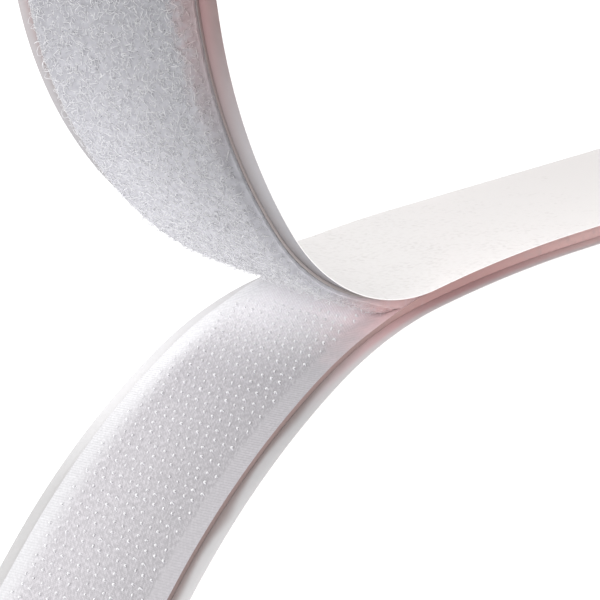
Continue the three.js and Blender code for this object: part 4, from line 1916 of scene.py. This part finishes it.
    def _carrier(self, start: float, end: float) -> bpy.types.Object:
        """Make the surface of one stretch of the pile, facing out, with the fibres' rise on it.

        Args:
            start: Where the stretch starts along the run.
            end: Where it ends.

        Returns:
            The surface.
        """
        run, half = self.runs.loop, self.runs.sizes.half_tape
        near_inset, far_inset = self.carrier_insets
        s = np.arange(start, end + self.carrier_step / 2, self.carrier_step)[:, None]
        y = np.linspace(near_inset - half, half - far_inset, self.carrier_columns)[None, :]
        points = run.at(s, y, -self._bed_face(s, y))
        rows, columns = points.shape[:2]
        faces = [
            (i * columns + j, (i + 1) * columns + j, (i + 1) * columns + j + 1, i * columns + j + 1)
            for i in range(rows - 1)
            for j in range(columns - 1)
        ]
        made = mesh_object("pile_surface", points.reshape(-1, 3), faces)
        leg = smoothstep(s - self.runs.loop_peel, 0.0, self.rise_length)
        edge = self.rise_edge + (1 - self.rise_edge) * smoothstep(y, -half, self.rise_band - half)
        note_points(made, "rise", "FLOAT", self.rise_least + (1 - self.rise_least) * leg * edge)
        cloth = np.stack([y + 0 * s, run.cloth_length(s, y), 0 * s + 0 * y], axis=-1)
        note_points(made, "Cloth", "FLOAT_VECTOR", cloth)
        _, _, out = run.axes(np.array([(start + end) / 2]), np.array([0.0]))
        if made.data.polygons[len(faces) // 2].normal.dot(Vector(-out[0])) < 0:
            made.data.flip_normals()
        return made

    def _fibre_tree(self, finishes: Finishes) -> Scatter:
        """Wire the tree that sets the fibres on a surface.

        Args:
            finishes: The materials.

        Returns:
            The tree, with inputs for the density, the seed and the shapes.
        """
        scatter = Scatter("loop_fibres")
        graph = scatter.graph
        feeds = {
            "Mesh": scatter.entry.outputs["Geometry"],
            "Density": scatter.size("Density"),
            "Seed": scatter.size("Seed", "NodeSocketInt"),
        }
        shapes = scatter.size("Shapes", "NodeSocketCollection")
        spread = graph.node("GeometryNodeDistributePointsOnFaces", feeds)
        choice = {"Collection": shapes, "Separate Children": True, "Reset Children": True}
        info = graph.node("GeometryNodeCollectionInfo", choice)
        tilt = self.loop_tilt
        angles = scatter.random((-tilt, -tilt, 0.0), (tilt, tilt, FULL_TURN), self.seed, "FLOAT_VECTOR")
        turn = {0: spread.outputs["Rotation"], 1: scatter.turned(angles)}
        scale = scatter.random(*self.loop_scale, self.seed + 2)
        scatter.close(
            finishes.fibres,
            Points=spread.outputs["Points"],
            Instance=info.outputs[0],
            Pick_Instance=True,
            Instance_Index=scatter.random(0, self.shapes - 1, self.seed, "INT"),
            Rotation=graph.node("FunctionNodeRotateRotation", turn, rotation_space="LOCAL").outputs[0],
            Scale=graph.times(scale, scatter.attribute("rise", "FLOAT")),
        )
        return scatter

    def _loops(self, finishes: Finishes) -> list[bpy.types.Object]:
        """Make the fibres that stand out of the pile, in three stretches of the leg.

        Args:
            finishes: The materials.

        Returns:
            The fibres of each stretch.
        """
        group = self._loop_shapes()
        scatter = self._fibre_tree(finishes)
        names = ("loop_fibres_root", "loop_fibres_middle", "loop_fibres_tip")
        first, last = self.runs.loop_peel + self.loop_margins[0], self.runs.loop.total - self.loop_margins[1]
        marks = np.linspace(first, last, len(names) + 1)
        made = []
        for k, name in enumerate(names):
            values = {"Density": self.loop_density / MM**2, "Seed": self.seed + k, "Shapes": group}
            made.append(scatter.bake(self._carrier(marks[k], marks[k + 1]), values, name))
        for shape in list(group.objects):
            bpy.data.objects.remove(shape)
        bpy.data.collections.remove(group)
        return made


@dataclass(frozen=True)
class View:
    """The camera of the photograph."""

    target: Point = (-107.705, 0.0, 49.074)
    heading: float = 44.267
    dip: float = 8.147
    roll: float = 1.042
    distance: float = 371.635
    lens: float = 192.05
    sensor: float = 36.0
    clip: Span = (0.01, 30.0)

    def build(self) -> None:
        """Make the camera and use it."""
        heading, dip, roll = (math.radians(angle) for angle in (self.heading, self.dip, self.roll))
        ahead = Vector((math.cos(heading) * math.cos(dip), math.sin(heading) * math.cos(dip), -math.sin(dip)))
        level_right = ahead.cross(Vector((0, 0, 1))).normalized()
        level_up = level_right.cross(ahead)
        right = math.cos(roll) * level_right + math.sin(roll) * level_up
        up = math.cos(roll) * level_up - math.sin(roll) * level_right
        data = bpy.data.cameras.new("photo_camera")
        data.lens = self.lens
        data.sensor_width = self.sensor
        data.clip_start, data.clip_end = self.clip
        made = linked("photo_camera", data)
        turn = Matrix((right, up, -ahead)).transposed().to_4x4()
        place = Vector(self.target) * MM - ahead * self.distance * MM
        made.matrix_world = Matrix.Translation(place) @ turn
        bpy.context.scene.camera = made


@dataclass(frozen=True)
class Lamp:
    """A square soft lamp that points at the tape, with its place and size in metres."""

    name: str
    place: Point
    power: float
    size: float
    aim: Point = (-0.11, 0.0, 0.05)

    def build(self) -> None:
        """Make the lamp."""
        data = bpy.data.lights.new(self.name, "AREA")
        data.energy = self.power
        data.size = self.size
        made = linked(self.name, data)
        made.location = self.place
        way = Vector(self.aim) - Vector(self.place)
        made.rotation_euler = way.to_track_quat("-Z", "Y").to_euler()


@dataclass(frozen=True)
class Studio:
    """White table, with its side in metres, and soft light."""

    lamps: tuple[Lamp, ...] = (
        Lamp("front_lamp", (-0.6, -0.5, 0.16), 1.7, 0.28),
        Lamp("left_lamp", (-0.85, -0.1, 0.16), 2.1, 0.28),
    )
    table: float = 12.0

    def build(self) -> None:
        """Make the table, the sky and the lamps."""
        bpy.context.scene.view_settings.view_transform = "Standard"
        half = self.table / 2 / MM
        corners = np.array([[-half, -half, 0], [half, -half, 0], [half, half, 0], [-half, half, 0]])
        table = mesh_object("table", corners, [(0, 1, 2, 3)], [FloorFinish().material("table_top")])
        self._sky()
        for lamp in self.lamps:
            lamp.build()

    def _sky(self) -> None:
        """Make a plain white sky."""
        world = bpy.data.worlds.new("sky")
        world.use_nodes = True
        world.node_tree.nodes.clear()
        graph = Graph(world.node_tree)
        glow = graph.node("ShaderNodeBackground", {"Color": (1.0, 1.0, 1.0)})
        graph.node("ShaderNodeOutputWorld", {"Surface": glow.outputs[0]})
        bpy.context.scene.world = world


def main() -> None:
    """Build the roll piece by piece and set it on the table."""
    logging.basicConfig(level=logging.INFO, format="%(message)s")
    runs = TapeRuns(TapeSizes())
    finishes = Finishes.along(runs)
    View().build()
    Core(runs.sizes, runs.roll_height).build(finishes)
    HookSide(runs).build(finishes)
    LoopSide(runs).build(finishes)
    Studio().build()


if __name__ == "__main__":
    main()
